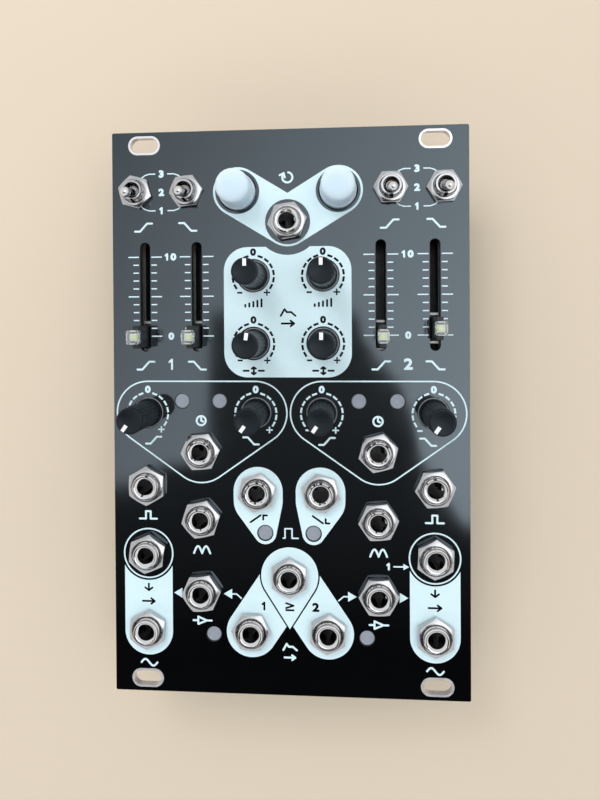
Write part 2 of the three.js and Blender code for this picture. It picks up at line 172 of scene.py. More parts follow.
def spot(node):
    """X and Y of the middle of a node's box."""
    low, high = node_box(node)
    return tuple((low + high).xy / 2)


plate_low, plate_high = node_box("faceplate")
PLATE_WIDTH = plate_high.x - plate_low.x
PLATE_HEIGHT = plate_high.y - plate_low.y
PLATE_REAR = plate_low.z
PLATE_FRONT = plate_high.z
BOARD_REAR = node_box("power_header")[1].z
BOARD_FRONT = node_box("cycle_jack")[0].z

JACK_NAMES = ["time", "trigger", "gate", "follow", "audio_in", "amplifier", "audio_out", "envelope"]
jack_nodes = ["cycle_jack", "either_jack"] + [f"{c}_{name}_jack" for c in "ab" for name in JACK_NAMES]
toggle_names = [f"{c}_{name}_switch" for c in "ab" for name in ("rise", "fall")]
slider_names = [f"{c}_{name}_slider" for c in "ab" for name in ("rise", "fall")]
knob_names = [f"{c}_{name}" for c in "ab" for name in ("level", "offset", "rise_time", "fall_time")]
button_names = [f"{c}_cycle_button" for c in "ab"]

# Each channel's letter, its side of the plate and which of rise and fall is the outer one there
CHANNELS = (("a", -1, "rise"), ("b", 1, "fall"))

# Lamps, as shares of the plate's width and height from its middle
LAMP_SHARES = [(0.3028, 0.0208), (0.1959, 0.0208), (0.068, -0.2125), (0.2157, -0.3946)]
lamp_places = [(side * x * PLATE_WIDTH, y * PLATE_HEIGHT) for side in (-1, 1) for x, y in LAMP_SHARES]

# Turn of each nut in degrees, for the jacks and then for the toggles
NUT_TURNS = dict(zip(jack_nodes + toggle_names, (
    9, 31, 5, 30, 18, 12, 23, 6, 28, 58, 15, 6, 44, 5, 27, 1, 29, 26, 45, 6, 0, 2)))


# Mesh parts are pairs of vertices and faces

def loft(rings, closed=False):
    """Joins rings of points, low to high, and caps the ends, or joins the last to the first."""
    count = len(rings[0])
    vertices = [point for ring in rings for point in ring]
    steps = len(rings) if closed else len(rings) - 1
    faces = []
    for step in range(steps):
        low = step * count
        high = (step + 1) % len(rings) * count
        for i in range(count):
            j = (i + 1) % count
            faces.append((low + i, low + j, high + j, high + i))
    if not closed:
        faces.append(tuple(reversed(range(count))))
        faces.append(tuple(range(len(vertices) - count, len(vertices))))
    return vertices, faces


def round_ring(radius, height, sides):
    """A ring about Z. The radius and the height may each be a function of the angle."""
    points = []
    for i in range(sides):
        angle = math.tau * i / sides
        r = radius(angle) if callable(radius) else radius
        z = height(angle) if callable(height) else height
        points.append((r * math.cos(angle), r * math.sin(angle), z))
    return points


def turned(profile, sides=48, closed=False):
    return loft([round_ring(radius, height, sides) for radius, height in profile], closed)


def row(count, pitch):
    """Places with equal steps about zero."""
    return [(i - (count - 1) / 2) * pitch for i in range(count)]


def stepped(radius, height, steps):
    """Points of a profile, each given by its distance from a radius and a height."""
    return [(radius + out, height + up) for out, up in steps]


def rounded_outline(width, length, corner, steps=4):
    points = []
    for quarter, (sign_x, sign_y) in enumerate([(1, 1), (-1, 1), (-1, -1), (1, -1)]):
        for i in range(steps + 1):
            angle = math.pi / 2 * (quarter + i / steps)
            points.append((sign_x * (width / 2 - corner) + corner * math.cos(angle),
                           sign_y * (length / 2 - corner) + corner * math.sin(angle)))
    return points


def rounded_block(width, length, low, high, corner, edge):
    """A block with rounded upright corners and bevelled ends."""
    rings = []
    for inset, height in [(edge, low), (0, low + edge), (0, high - edge), (edge, high)]:
        outline = rounded_outline(width - 2 * inset, length - 2 * inset, max(corner - inset, HAIR / 2))
        rings.append([(x, y, height) for x, y in outline])
    return loft(rings)


def moved(part, x=0, y=0, z=0, turn=0.0):
    """The part turned about Z and moved."""
    change = Matrix.Translation((x, y, z)) @ Matrix.Rotation(turn, 4, "Z")
    vertices, faces = part
    return [tuple(change @ Vector(v)) for v in vertices], faces


def combined(parts):
    vertices, faces = [], []
    for part_vertices, part_faces in parts:
        start = len(vertices)
        vertices += part_vertices
        faces += [tuple(start + i for i in face) for face in part_faces]
    return vertices, faces


def signed_area(outline):
    pairs = zip(outline, outline[1:] + outline[:1])
    return sum(a[0] * b[1] - b[0] * a[1] for a, b in pairs) / 2


def sheet(outlines, low, high):
    """A flat solid from (outline, shown) pairs. The last outline round a spot says if it is there."""
    points, loops = [], []
    for outline, _ in outlines:
        ordered = outline if signed_area(outline) > 0 else outline[::-1]
        loops.append(list(range(len(points), len(points) + len(ordered))))
        points += [Vector(p) for p in ordered]
    flat, _, triangles, _, _, owners = delaunay_2d_cdt(points, [], loops, 0, HAIR / 10)
    kept = [tuple(t) for t, own in zip(triangles, owners) if own and outlines[max(own)][1]]
    count = len(flat)
    vertices = [(p.x, p.y, low) for p in flat] + [(p.x, p.y, high) for p in flat]
    faces = [tuple(i + count for i in t) for t in kept] + [t[::-1] for t in kept]
    directed = {edge for t in kept for edge in zip(t, t[1:] + t[:1])}
    rims = sorted(edge for edge in directed if edge[::-1] not in directed)
    faces += [(a, b, b + count, a + count) for a, b in rims]
    used = sorted({i for face in faces for i in face})
    renumbered = {old: new for new, old in enumerate(used)}
    return [vertices[i] for i in used], [tuple(renumbered[i] for i in face) for face in faces]


def walled(outline, holes, low, high):
    """A flat solid with holes through it."""
    return sheet([(outline, True)] + [(hole, False) for hole in holes], low, high)


def make_mesh(name, part):
    vertices, faces = part
    mesh = bpy.data.meshes.new(name)
    mesh.from_pydata([Vector(v) * MM for v in vertices], [], faces)
    mesh.validate()
    mesh.shade_smooth()
    mesh.set_sharp_from_angle(angle=SHARP_ANGLE)
    return mesh


def make_meshes(kind, names, parts):
    return [make_mesh(f"{kind}_{name}", part) for name, part in zip(names, parts)]


def add_object(name, data):
    item = bpy.data.objects.new(name, data)
    bpy.context.scene.collection.objects.link(item)
    return item


# Materials

def srgb(red, green, blue):
    """A linear colour from one written as on a screen, 0 to 255."""
    shares = [value / 255 for value in (red, green, blue)]
    linear = [s / 12.92 if s <= 0.04045 else ((s + 0.055) / 1.055) ** 2.4 for s in shares]
    return (*linear, 1)


def feed(tree, node, inputs):
    """Gives a node its inputs by name or number: plain values, or outputs of other nodes."""
    for key, value in inputs.items():
        socket = node.inputs[key]
        if isinstance(value, bpy.types.NodeSocket):
            tree.links.new(value, socket)
        else:
            socket.default_value = value


def add_node(tree, kind, output, inputs, **settings):
    """Adds a shader node with its settings and inputs, and gives one of its outputs."""
    node = tree.nodes.new(f"ShaderNode{kind}")
    for name, value in settings.items():
        setattr(node, name, value)
    feed(tree, node, inputs)
    return node.outputs[output]


BROAD_DETAIL = 6
FINE_DETAIL = 3
NOISE_LOW = 0.3
NOISE_HIGH = 0.7

# Slot, screen colour, roughness, metallic share, tint, patch size, spread of the gloss, height and
# size of the relief's grain, and how much the pattern is squeezed along X, Y and Z
FINISHES = {
    "panel_black": ("panel", (5, 5, 6), 0.07, 0, 0.2, 9, 0.2, 0.0002, 0.5),
    "panel_edge": ("panel", (38, 36, 30), 0.7, 0, 0.3, 0.6, 0.15, 0.01, 0.2, (1, 1, 5)),
    "print_white": ("panel_print", (211, 234, 240), 0.4, 0, 0.03, 1.5, 0.15, 0.002, 0.12),
    "ink_black": ("panel_print", (8, 14, 19), 0.7, 0, 0.15, 1, 0.15, 0.002, 0.1),
    "plating": ("bare_metal", (234, 231, 234), 0.32, 0.75, 0.06, 0.8, 0.15, 0.003, 0.25),
    "nickel": ("nickel", (190, 189, 190), 0.19, 1, 0.16, 0.9, 0.4, 0.0015, 0.15),
    "bright_nickel": ("nickel", (220, 218, 218), 0.12, 1, 0.06, 1.2, 0.4, 0.001, 0.3),
    "dull_steel": ("steel", (150, 150, 150), 0.38, 1, 0.1, 2.5, 0.3, 0.003, 0.12, (1, 6, 1)),
    "black_plastic": ("black_plastic", (26, 27, 30), 0.42, 0, 0.15, 1.5, 0.15, 0.004, 0.09),
    "knob_plastic": ("black_plastic", (8, 12, 19), 0.42, 0, 0.12, 1.2, 0.2, 0.003, 0.07),
    "collar_metal": ("bare_metal", (225, 228, 233), 0.5, 0.75, 0.08, 0.8, 0.15, 0.003, 0.12),
    "pointer_white": ("white_plastic", (238, 240, 240), 0.4, 0, 0.03, 0.6, 0.15, 0.002, 0.1),
    "clear_plastic": ("clear_plastic", (246, 250, 250), 0.08, 0, 0.02, 1, 0.15, 0.002, 0.3),
    "lamp_chip": ("lamp", (214, 226, 156), 0.35, 0, 0.12, 0.4, 0.15, 0.004, 0.15),
    "milky_plastic": ("white_plastic", (201, 218, 230), 0.42, 0, 0.03, 1.5, 0.15, 0.002, 0.2),
    "lamp_frost": ("lamp", (140, 146, 157), 0.5, 0, 0.12, 0.7, 0.15, 0.006, 0.08),
    "board_mask": ("board", (24, 66, 44), 0.3, 0, 0.2, 6, 0.15, 0.003, 0.4),
    "board_track": ("board", (38, 92, 60), 0.28, 0, 0.12, 2, 0.15, 0.002, 0.3),
    "solder": ("bare_metal", (196, 198, 200), 0.25, 1, 0.1, 0.6, 0.15, 0.01, 0.3),
    "gold": ("gold", (226, 188, 110), 0.22, 1, 0.08, 1, 0.15, 0.002, 0.2),
    "chip_black": ("black_plastic", (28, 28, 30), 0.55, 0, 0.15, 0.8, 0.15, 0.005, 0.08),
    "resistor_black": ("black_plastic", (20, 20, 22), 0.35, 0, 0.2, 0.4, 0.15, 0.003, 0.1),
    "can_metal": ("capacitor_can", (196, 198, 200), 0.3, 1, 0.05, 2, 0.15, 0.002, 0.2, (1, 1, 8)),
}
FLOOR_FINISH = ((214, 198, 177), 0.8, 0, 0.02, 60, 0.15, 0.02, 1.5)
SHADER_EXTRAS = {
    "panel_black": {"IOR": 1.9, "Specular Tint": (0.76, 0.9, 1, 1)},
    "knob_plastic": {"Specular IOR Level": 0.33, "Specular Tint": (0.8, 0.92, 1, 1)},
    "ink_black": {"Specular IOR Level": 0.1},
    "clear_plastic": {"Transmission Weight": 0.85, "IOR": 1.49},
    "milky_plastic": {"Subsurface Weight": 1.0, "Subsurface Scale": 5 * MM,
                      "Subsurface Radius": (1, 1, 1), "Specular IOR Level": 0.35},
}


def surface(name, colour, roughness, metallic, tint, patch, spread, relief, grain, stretch=(1, 1, 1)):
    """A finish with mottled colour and gloss over patches, and a fine relief."""
    material = bpy.data.materials.new(name)
    material.use_nodes = True
    tree = material.node_tree
    dark, light = [(*[min(1, c * (1 + change)) for c in srgb(*colour)[:3]], 1)
                   for change in (-tint, tint)]
    spots = add_node(tree, "Mapping", "Vector",
                     {"Vector": add_node(tree, "TexCoord", "Object", {}), "Scale": stretch})
    broad, fine = [
        add_node(tree, "TexNoise", "Fac", {"Vector": spots, "Scale": 1 / (size * MM), "Detail": detail})
        for size, detail in ((patch, BROAD_DETAIL), (grain, FINE_DETAIL))]
    shade = add_node(tree, "Mix", "Result", {"Factor": broad, "A": dark, "B": light}, data_type="RGBA")
    gloss = add_node(tree, "MapRange", "Result", {
        "Value": broad, "From Min": NOISE_LOW, "From Max": NOISE_HIGH,
        "To Min": roughness * (1 - spread), "To Max": roughness * (1 + spread)})
    bump = add_node(tree, "Bump", "Normal", {"Height": fine, "Distance": relief * MM})
    feed(tree, tree.nodes["Principled BSDF"], {
        "Base Color": shade, "Roughness": gloss, "Metallic": metallic, "Normal": bump,
        **SHADER_EXTRAS.get(name, {})})
    return material


finishes = {finish: surface(finish, *values[1:]) for finish, values in FINISHES.items()}


def place(name, mesh, finish, node, at=(0, 0), turn=0.0, lean=0.0, body=BODY):
    """Adds a piece from a mesh or part, which rides on a body and stands for a CAD node."""
    if isinstance(mesh, tuple):
        mesh = make_mesh(name, mesh)
    if not mesh.materials:
        mesh.materials.append(finishes[finish])
    piece = add_object(name, mesh)
    piece.location = Vector(at).to_3d() * MM
    piece.rotation_euler = (lean, 0, turn)
    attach(piece, body)
    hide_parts(node)
    return piece


def place_set(prefix, looks, meshes, node, at, body=BODY):
    """Places pieces that share a spot. Looks give each one's ending, finish and own slot, if any; the
    slot is not used.
    """
    for (ending, (finish, slot)), mesh in zip(looks.items(), meshes):
        place(f"{prefix}_{ending}", mesh, finish, node, at, body=body)


# Camera, from the photograph: the plate's corners give its place, turn and focal length

CAMERA_PLACE = (12.585, 20.508, 135.834)
CAMERA_RIGHT = (0.99774978, -0.00574605, -0.06680093)
CAMERA_UP = (0.00521323, 0.99995322, -0.00814779)
FOCAL_PIXELS = 602.8
PHOTO_WIDTH = 600
PHOTO_HEIGHT = 800
VIEW_MIDDLE = (303.55, 327.2)
SENSOR = 36.0
FARTHEST = 10_000


def add_camera():
    camera = add_object("camera", bpy.data.cameras.new("camera"))
    right = Vector(CAMERA_RIGHT).normalized()
    back = right.cross(Vector(CAMERA_UP)).normalized()
    up = back.cross(right)
    turn = Matrix((right, up, back)).transposed().to_4x4()
    eye = Vector(CAMERA_PLACE) + Vector((0, 0, PLATE_FRONT))
    camera.matrix_world = Matrix.Translation(eye * MM) @ turn
    camera.data.sensor_width = SENSOR
    camera.data.lens = SENSOR * FOCAL_PIXELS / PHOTO_HEIGHT
    camera.data.shift_x = (PHOTO_WIDTH / 2 - VIEW_MIDDLE[0]) / PHOTO_HEIGHT
    camera.data.shift_y = (VIEW_MIDDLE[1] - PHOTO_HEIGHT / 2) / PHOTO_HEIGHT
    camera.data.clip_start = MM
    camera.data.clip_end = FARTHEST * MM
    bpy.context.scene.camera = camera


# Light: a pale room with a bright ceiling, and in the ceiling a dark shape, which the lower part of
# the glossy plate mirrors. Slopes are X and Y over Z of a direction from the plate.

ROOM_COLOUR = (0.95, 0.98, 1.0, 1)
ROOM_LEVEL = 0.95
CEILING_START = 0.7
CEILING_FULL = 0.8
CEILING_BRIGHT = 1.86
BRIGHTER_RIGHT = 1.8
BRIGHTER_DOWN = -1.04
CEILING_LIMITS = (0.8, 2.4)
CEILING_DARK = 0.01
# The dark part is a little lighter towards the plate's top edge
DARK_MIDDLE = 0.22
LIGHTER_UP = 0.4
SHADE_SOFTNESS = (-0.015, 0.015)
# Upper edge of the dark part, as slopes across and along the plate
SHADE_EDGE = [(-0.36, -0.275), (-0.3, -0.24), (-0.232, -0.235), (-0.222, 0.017), (0.02, 0.017),
              (0.035, -0.035), (0.06, -0.07), (0.09, -0.1), (0.105, -0.14), (0.13, -0.235),
              (0.16, -0.29), (0.2, -0.335)]
SLOPE_MIDDLE = 0.5


def add_world():
    world = bpy.data.worlds.new("room")
    bpy.context.scene.world = world
    world.use_nodes = True
    tree = world.node_tree

    def worked(operation, first, second):
        return add_node(tree, "Math", "Value", {0: first, 1: second}, operation=operation)

    def eased(source, start, end):
        return add_node(tree, "MapRange", "Result", {"Value": source, "From Min": start, "From Max": end},
                        interpolation_type="SMOOTHSTEP")

    split = tree.nodes.new("ShaderNodeSeparateXYZ")
    feed(tree, split, {"Vector": add_node(tree, "TexCoord", "Generated", {})})
    x, y, z = split.outputs
    across = worked("DIVIDE", x, z)
    along = worked("DIVIDE", y, z)
    edge = tree.nodes.new("ShaderNodeValToRGB")
    edge.color_ramp.interpolation = "EASE"
    stops = edge.color_ramp.elements
    while len(stops) < len(SHADE_EDGE):
        stops.new(SLOPE_MIDDLE)
    for stop, (slope, height) in zip(stops, SHADE_EDGE):
        stop.position = slope + SLOPE_MIDDLE
        stop.color = (*[height + SLOPE_MIDDLE] * 3, 1)
    feed(tree, edge, {"Fac": worked("ADD", across, SLOPE_MIDDLE)})
    above = worked("SUBTRACT", worked("ADD", along, SLOPE_MIDDLE), edge.outputs["Color"])
    lit = eased(above, *SHADE_SOFTNESS)

    bright = worked("ADD", worked("MULTIPLY", across, BRIGHTER_RIGHT), CEILING_BRIGHT)
    bright = worked("ADD", worked("MULTIPLY", along, BRIGHTER_DOWN), bright)
    bright = worked("MINIMUM", worked("MAXIMUM", bright, CEILING_LIMITS[0]), CEILING_LIMITS[1])
    dark = worked("ADD", worked("MULTIPLY", along, LIGHTER_UP), DARK_MIDDLE)
    dark = worked("MAXIMUM", dark, CEILING_DARK)
    ceiling = worked("MAXIMUM", worked("MULTIPLY", bright, lit), dark)

    high_up = eased(z, CEILING_START, CEILING_FULL)
    level = add_node(tree, "Mix", "Result", {"Factor": high_up, "A": ROOM_LEVEL, "B": ceiling},
                     data_type="FLOAT")
    feed(tree, tree.nodes["Background"], {"Color": ROOM_COLOUR, "Strength": level})


LAMP_PLACE = (-160, 330, 420)
LAMP_SIZE = 220
LAMP_POWER = 0.9


def add_lamp():
    data = bpy.data.lights.new("softbox", "AREA")
    data.shape = "DISK"
    data.size = LAMP_SIZE * MM
    data.energy = LAMP_POWER
    lamp = add_object("softbox", data)
    lamp.location = Vector(LAMP_PLACE) * MM
    aim = Vector((0, 0, PLATE_FRONT)) - Vector(LAMP_PLACE)
    lamp.rotation_euler = aim.to_track_quat("-Z", "Y").to_euler()
    lamp.visible_glossy = False


FLOOR_SIZE = 1600
FLOOR_DEPTH = 2.0


def add_floor():
    slab = rounded_block(FLOOR_SIZE, FLOOR_SIZE, -FLOOR_DEPTH, 0, FLOOR_DEPTH, HAIR)
    floor = add_object("floor", make_mesh("floor", slab))
    floor.data.materials.append(surface("floor_paper", *FLOOR_FINISH))


# Outlines of the print, in millimetres from the middle of the plate

WHITE_LINE = 0.32
THIN_LINE = 0.27
STROKE_SIDES = 12
SIGN_HEIGHT = 1.6
painted = []


def paint(outline, shown=True):
    painted.append(([tuple(p) for p in outline], shown))


def disc(x, y, radius, sides=64):
    return [(x + radius * math.cos(math.tau * i / sides), y + radius * math.sin(math.tau * i / sides))
            for i in range(sides)]


def hull(*circles):
    """The tight outline round circles given as x, y and radius."""
    points = [point for circle in circles for point in disc(*circle)]
    return [points[i] for i in convex_hull_2d(points)]


def stroke(points, width=THIN_LINE, shown=True, closed=False):
    """A line with round ends and joints."""
    last = points[:1] if closed else []
    for (x1, y1), (x2, y2) in zip(points, points[1:] + last):
        paint(hull((x1, y1, width / 2, STROKE_SIDES), (x2, y2, width / 2, STROKE_SIDES)), shown)


def arc(x, y, radius, start, end, steps=12):
    """Points on an arc, with its angles in degrees from the X axis."""
    angles = [math.radians(start + (end - start) * i / steps) for i in range(steps + 1)]
    return [(x + radius * math.cos(a), y + radius * math.sin(a)) for a in angles]


GLYPH_STEPS = 4
GLYPH_WEIGHT = 0.3
GLYPH_STRETCH = 1.2


def glyph(text, x, y, height, shown=True):
    """Digits from Blender's own font, about a middle point."""
    curve = bpy.data.curves.new("glyph", "FONT")
    curve.body = text
    holder = add_object("glyph", curve)
    bpy.context.view_layer.update()
    flat = holder.to_curve(bpy.context.evaluated_depsgraph_get())
    loops = []
    for spline in flat.splines:
        knots = list(spline.bezier_points)
        loop = []
        for here, after in zip(knots, knots[1:] + knots[:1]):
            steps = interpolate_bezier(here.co, here.handle_right, after.handle_left, after.co,
                                       GLYPH_STEPS)
            loop += [(p.x, p.y) for p in steps[:-1]]
        loops.append(loop)
    holder.to_curve_clear()
    bpy.data.objects.remove(holder)
    xs = [p[0] for loop in loops for p in loop]
    ys = [p[1] for loop in loops for p in loop]
    scale = height / (max(ys) - min(ys))
    centre_x, centre_y = (max(xs) + min(xs)) / 2, (max(ys) + min(ys)) / 2
    loops.sort(key=lambda loop: -abs(signed_area(loop)))
    ink_turn = signed_area(loops[0]) > 0
    outlines = [[(x + (px - centre_x) * scale * GLYPH_STRETCH, y + (py - centre_y) * scale)
                 for px, py in loop] for loop in loops]
    for outline in outlines:
        paint(outline, shown if (signed_area(outline) > 0) == ink_turn else not shown)
    for outline in outlines:
        stroke(outline, GLYPH_WEIGHT, shown, closed=True)


def dash(start, end, width=THIN_LINE, shown=True):
    """A straight line with square ends."""
    start, end = Vector(start), Vector(end)
    run = (end - start).normalized() * width / 2
    aside = Vector((-run.y, run.x))
    paint([start + aside, start - aside, end - aside, end + aside], shown)


# Small signs that stand for the words of such a panel, as lines in shares of half their height
CIRCLE = arc(0, 0, 1, 0, 360, 24)
HUMPS = [(-1.8 + 3.6 * i / 24, -1 + 2 * abs(math.sin(math.tau * i / 24))) for i in range(25)]
WAVE = [(-1.9 + 3.8 * i / 24, math.sin(math.tau * i / 24)) for i in range(25)]
SIGNS = {
    "rise": [[(-1.7, -1), (-0.7, -1), (0.7, 1), (1.7, 1)]],
    "fall": [[(-1.7, 1), (-0.7, 1), (0.7, -1), (1.7, -1)]],
    "level": [[(-1.6, -1), (-1.6, -0.5)], [(-0.8, -1), (-0.8, -0.1)], [(0, -1), (0, 0.3)],
              [(0.8, -1), (0.8, 0.65)], [(1.6, -1), (1.6, 1)]],
    "offset": [[(-2, 0), (-1, 0)], [(1, 0), (2, 0)], [(0, -1), (0, 1)],
               [(-0.4, 0.6), (0, 1), (0.4, 0.6)], [(-0.4, -0.6), (0, -1), (0.4, -0.6)]],
    "envelope": [[(-2.2, -1), (-1.1, 1), (-0.4, 0.1), (0.9, 0.1), (2.2, -1)]],
    "out": [[(-1.6, 0), (1.5, 0)], [(0.6, 0.9), (1.5, 0), (0.6, -0.9)]],
    "into": [[(0, 1), (0, -0.9)], [(-0.8, -0.1), (0, -0.9), (0.8, -0.1)]],
    "time": [CIRCLE, [(0, 0.6), (0, 0), (0.45, -0.2)]],
    "pulse": [[(-1.8, -1), (-0.5, -1), (-0.5, 1), (0.5, 1), (0.5, -1), (1.8, -1)]],
    "follow": [HUMPS],
    "amplifier": [[(-1.9, 0), (-0.9, 0)], [(-0.9, -1), (-0.9, 1), (0.9, 0), (-0.9, -1)],
                  [(0.9, 0), (1.9, 0)]],
    "rise_end": [[(-1.7, -1), (0.5, 1)], [(1.1, -0.2), (1.1, 1), (1.9, 1)]],
    "fall_end": [[(-1.7, 1), (0.5, -1)], [(1.1, 0.2), (1.1, -1), (1.9, -1)]],
    "wave": [WAVE],
    "loop": [arc(0, 0, 1, 80, -205, 24), [(-1.5, 0.45), (-0.72, 0.85), (-0.5, 0.0)]],
    "one": [[(-0.45, 0.5), (0.1, 1), (0.1, -1)]],
    "either": [[(-0.8, 1), (0.8, 0.3), (-0.8, -0.4)], [(-0.8, -1), (0.8, -1)]],
}


SIGN_WEIGHT = 0.45
SIGN_STRETCH = 1.3
DIGIT_HEIGHT = 1.42


def sign(name, x, y, height=SIGN_HEIGHT, shown=True, stretch=SIGN_STRETCH):
    half = height / 2
    for line in SIGNS[name]:
        stroke([(x + half * stretch * px, y + half * py) for px, py in line], SIGN_WEIGHT, shown)


def digit(text, x, y, height=DIGIT_HEIGHT, shown=True):
    """A digit about a middle point, with a hooked 1, which the font draws as a plain bar."""
    if text == "1":
        sign("one", x, y, height + GLYPH_WEIGHT - SIGN_WEIGHT, shown, stretch=1)
    else:
        glyph(text, x, y, height, shown)


DIAL_RADIUS = 4.7
DIAL_DROP = 0.15
DASH_ANGLES = [20, 40, 60, 80, 100, 120]
DASH_LENGTH = 1.2
DASH_WIDTH = 0.5
WHITE_DASH_WIDTH = 0.44
DIAL_DIGIT_RADIUS = 5.5
DIAL_END_RADIUS = 4.83
DIAL_END_ANGLE = math.radians(140)
MINUS_HALF = 0.58
MINUS_WIDTH = 0.42
PLUS_HALF = 0.74
PLUS_WIDTH = 0.34


def draw_dial(x, y, shown):
    y -= DIAL_DROP
    for side in (-1, 1):
        for degrees in DASH_ANGLES:
            angle = math.radians(degrees)
            out = Vector((side * math.sin(angle), math.cos(angle)))
            along = Vector((out.y, -out.x)) * DASH_LENGTH / 2
            centre = Vector((x, y)) + out * DIAL_RADIUS
            dash(centre - along, centre + along, WHITE_DASH_WIDTH if shown else DASH_WIDTH, shown)
        end_x = x + side * DIAL_END_RADIUS * math.sin(DIAL_END_ANGLE)
        end_y = y + DIAL_END_RADIUS * math.cos(DIAL_END_ANGLE)
        if side > 0:
            dash((end_x - PLUS_HALF, end_y), (end_x + PLUS_HALF, end_y), PLUS_WIDTH, shown)
            dash((end_x, end_y - PLUS_HALF), (end_x, end_y + PLUS_HALF), PLUS_WIDTH, shown)
        else:
            dash((end_x - MINUS_HALF, end_y), (end_x + MINUS_HALF, end_y), MINUS_WIDTH, shown)
    digit("0", x, y + DIAL_DIGIT_RADIUS, shown=shown)


# Pale area round the two buttons and the jack between them, and the pale plate under it
WING_RADIUS = 5.55
BUTTON_DISC = 5.05
CYCLE_DISC = 5.1
LEVEL_PLATE = (28.97, 29.6, 5.4)
LEVEL_PLATE_X = -0.15
LEVEL_PLATE_Y = 22.9
LEVEL_NOTCH = 7.5
LOOP_RISE = 10
LOOP_HEIGHT = 2.3
LEVEL_SIGN_DROP = 6.2
LEVEL_SIGN_STRETCH = 1.45
# Drop from the middle of that pale plate, and height
ENVELOPE_SIGN = (0.1, 1.5)
OUT_SIGN = (2.6, 1.4)


def level_outline(inset=0.0):
    width, height, corner = LEVEL_PLATE
    outline = rounded_outline(width - 2 * inset, height - 2 * inset, corner - inset, steps=10)
    return [(x + LEVEL_PLATE_X, y + LEVEL_PLATE_Y) for x, y in outline]


def draw_top_areas():
    paint(level_outline())
    jack = spot("cycle_jack")
    paint(disc(*jack, LEVEL_NOTCH), False)
    buttons = [spot(f"{name}_cap") for name in button_names]
    for button in buttons:
        paint(hull((*button, WING_RADIUS), (*jack, WING_RADIUS)))
    for button in buttons:
        paint(disc(*button, BUTTON_DISC), False)
    paint(disc(*jack, CYCLE_DISC), False)
    sign("loop", jack[0], jack[1] + LOOP_RISE, LOOP_HEIGHT, stretch=1)
    for c in "ab":
        for name in ("level", "offset"):
            x, y = spot(f"{c}_{name}_pot")
            draw_dial(x, y, False)
            sign(name, x, y - LEVEL_SIGN_DROP, shown=False, stretch=LEVEL_SIGN_STRETCH)
    sign("envelope", 0, LEVEL_PLATE_Y - ENVELOPE_SIGN[0], ENVELOPE_SIGN[1], False, stretch=1)
    sign("out", 0, LEVEL_PLATE_Y - OUT_SIGN[0], OUT_SIGN[1], False)


# Lines that lead from the digits between two toggles to each toggle, and the slider scales
LEADER = [(4.5, 3.4), (3.9, 3.85), (2.9, 4.2), (1.5, 4.2)]
LEVER_SIGN_HEIGHT = 1.8
TOGGLE_SIGN_DROP = 8.0
TOGGLE_SIGN_X = (33.2, 22.9)
SCALE_ROWS = 11
SCALE_STEP = 1.814
SCALE_TOP = 9.15
TICK_START = 1.45
TICK_SHORT = 2.75
TICK_LONG = 3.9
SLIDER_SIGN_DROP = 15.75
LONG_TICK_EVERY = 5
TEN_PLACES = (("1", -0.9), ("0", 0.6))
CHANNEL_DIGIT_RISE = 0.3
CHANNEL_DIGIT_HEIGHT = 2.3


def draw_slider_areas():
    for c, side, outer in CHANNELS:
        (left, y), (right, _) = sorted(spot(f"{c}_{n}_switch_body") for n in ("rise", "fall"))
        mid = (left + right) / 2
        for flip_x in (-1, 1):
            for flip_y in (-1, 1):
                stroke([(mid + flip_x * px, y + flip_y * py) for px, py in LEADER])
        for step, number in ((1, "3"), (0, "2"), (-1, "1")):
            digit(number, mid, y + step * LEADER[-1][1])
        for n in ("rise", "fall"):
            sign(n, side * TOGGLE_SIGN_X[n != outer], y - TOGGLE_SIGN_DROP, LEVER_SIGN_HEIGHT)
            x, slot_y = spot(f"{c}_{n}_slider_body")
            sign(n, x, slot_y - SLIDER_SIGN_DROP, LEVER_SIGN_HEIGHT)
            for step in range(SCALE_ROWS):
                tick_y = slot_y + SCALE_TOP - step * SCALE_STEP
                end = TICK_SHORT if step % LONG_TICK_EVERY else TICK_LONG
                for way in (-1, 1):
                    dash((x + way * TICK_START, tick_y), (x + way * end, tick_y))
        mid = sum(spot(f"{c}_{n}_slider_body")[0] for n in ("rise", "fall")) / 2
        for number, aside in TEN_PLACES:
            digit(number, mid + aside, slot_y + SCALE_TOP)
        digit("0", mid, slot_y + SCALE_TOP - (SCALE_ROWS - 1) * SCALE_STEP)
        digit("1" if c == "a" else "2", mid, slot_y - SLIDER_SIGN_DROP + CHANNEL_DIGIT_RISE,
              CHANNEL_DIGIT_HEIGHT)


# Outlined area round each pair of time knobs and their jack, as circles
TIME_AREA = [(32.5, 0, 7.2), (7.6, 0, 7.2), (20.15, -8.8, 7.2)]
TIME_SIGN_X = (31.2, 8.65)
TIME_SIGN_DROP = 6.35
CLOCK_SIGN = (20.1, -1.8, 2.1)


def draw_time_areas():
    for c, side, outer in CHANNELS:
        for grow, shown in ((WHITE_LINE / 2, True), (-WHITE_LINE / 2, False)):
            paint(hull(*[(side * x, y, r + grow) for x, y, r in TIME_AREA]), shown)
        for n in ("rise", "fall"):
            x, y = spot(f"{c}_{n}_time_pot")
            draw_dial(x, y, True)
            sign(n, side * TIME_SIGN_X[n != outer], y - TIME_SIGN_DROP)
        x, y, height = CLOCK_SIGN
        sign("time", side * x, y, height, stretch=1)


# Pale drops under the two gate jacks as circles, their signs, and a step line between them
DROP_AREA = [(7.1, -17.9, 5.62), (7.1, -20, 5.6), (5.5, -27.3, 2.55)]
GATE_SIGN = (7.1, -24.1)
STEP_SIGN = [(-1.4, -28.4), (-1.0, -28.4), (-1.0, -26.25), (0.6, -26.25), (0.6, -28.4), (2.0, -28.4)]


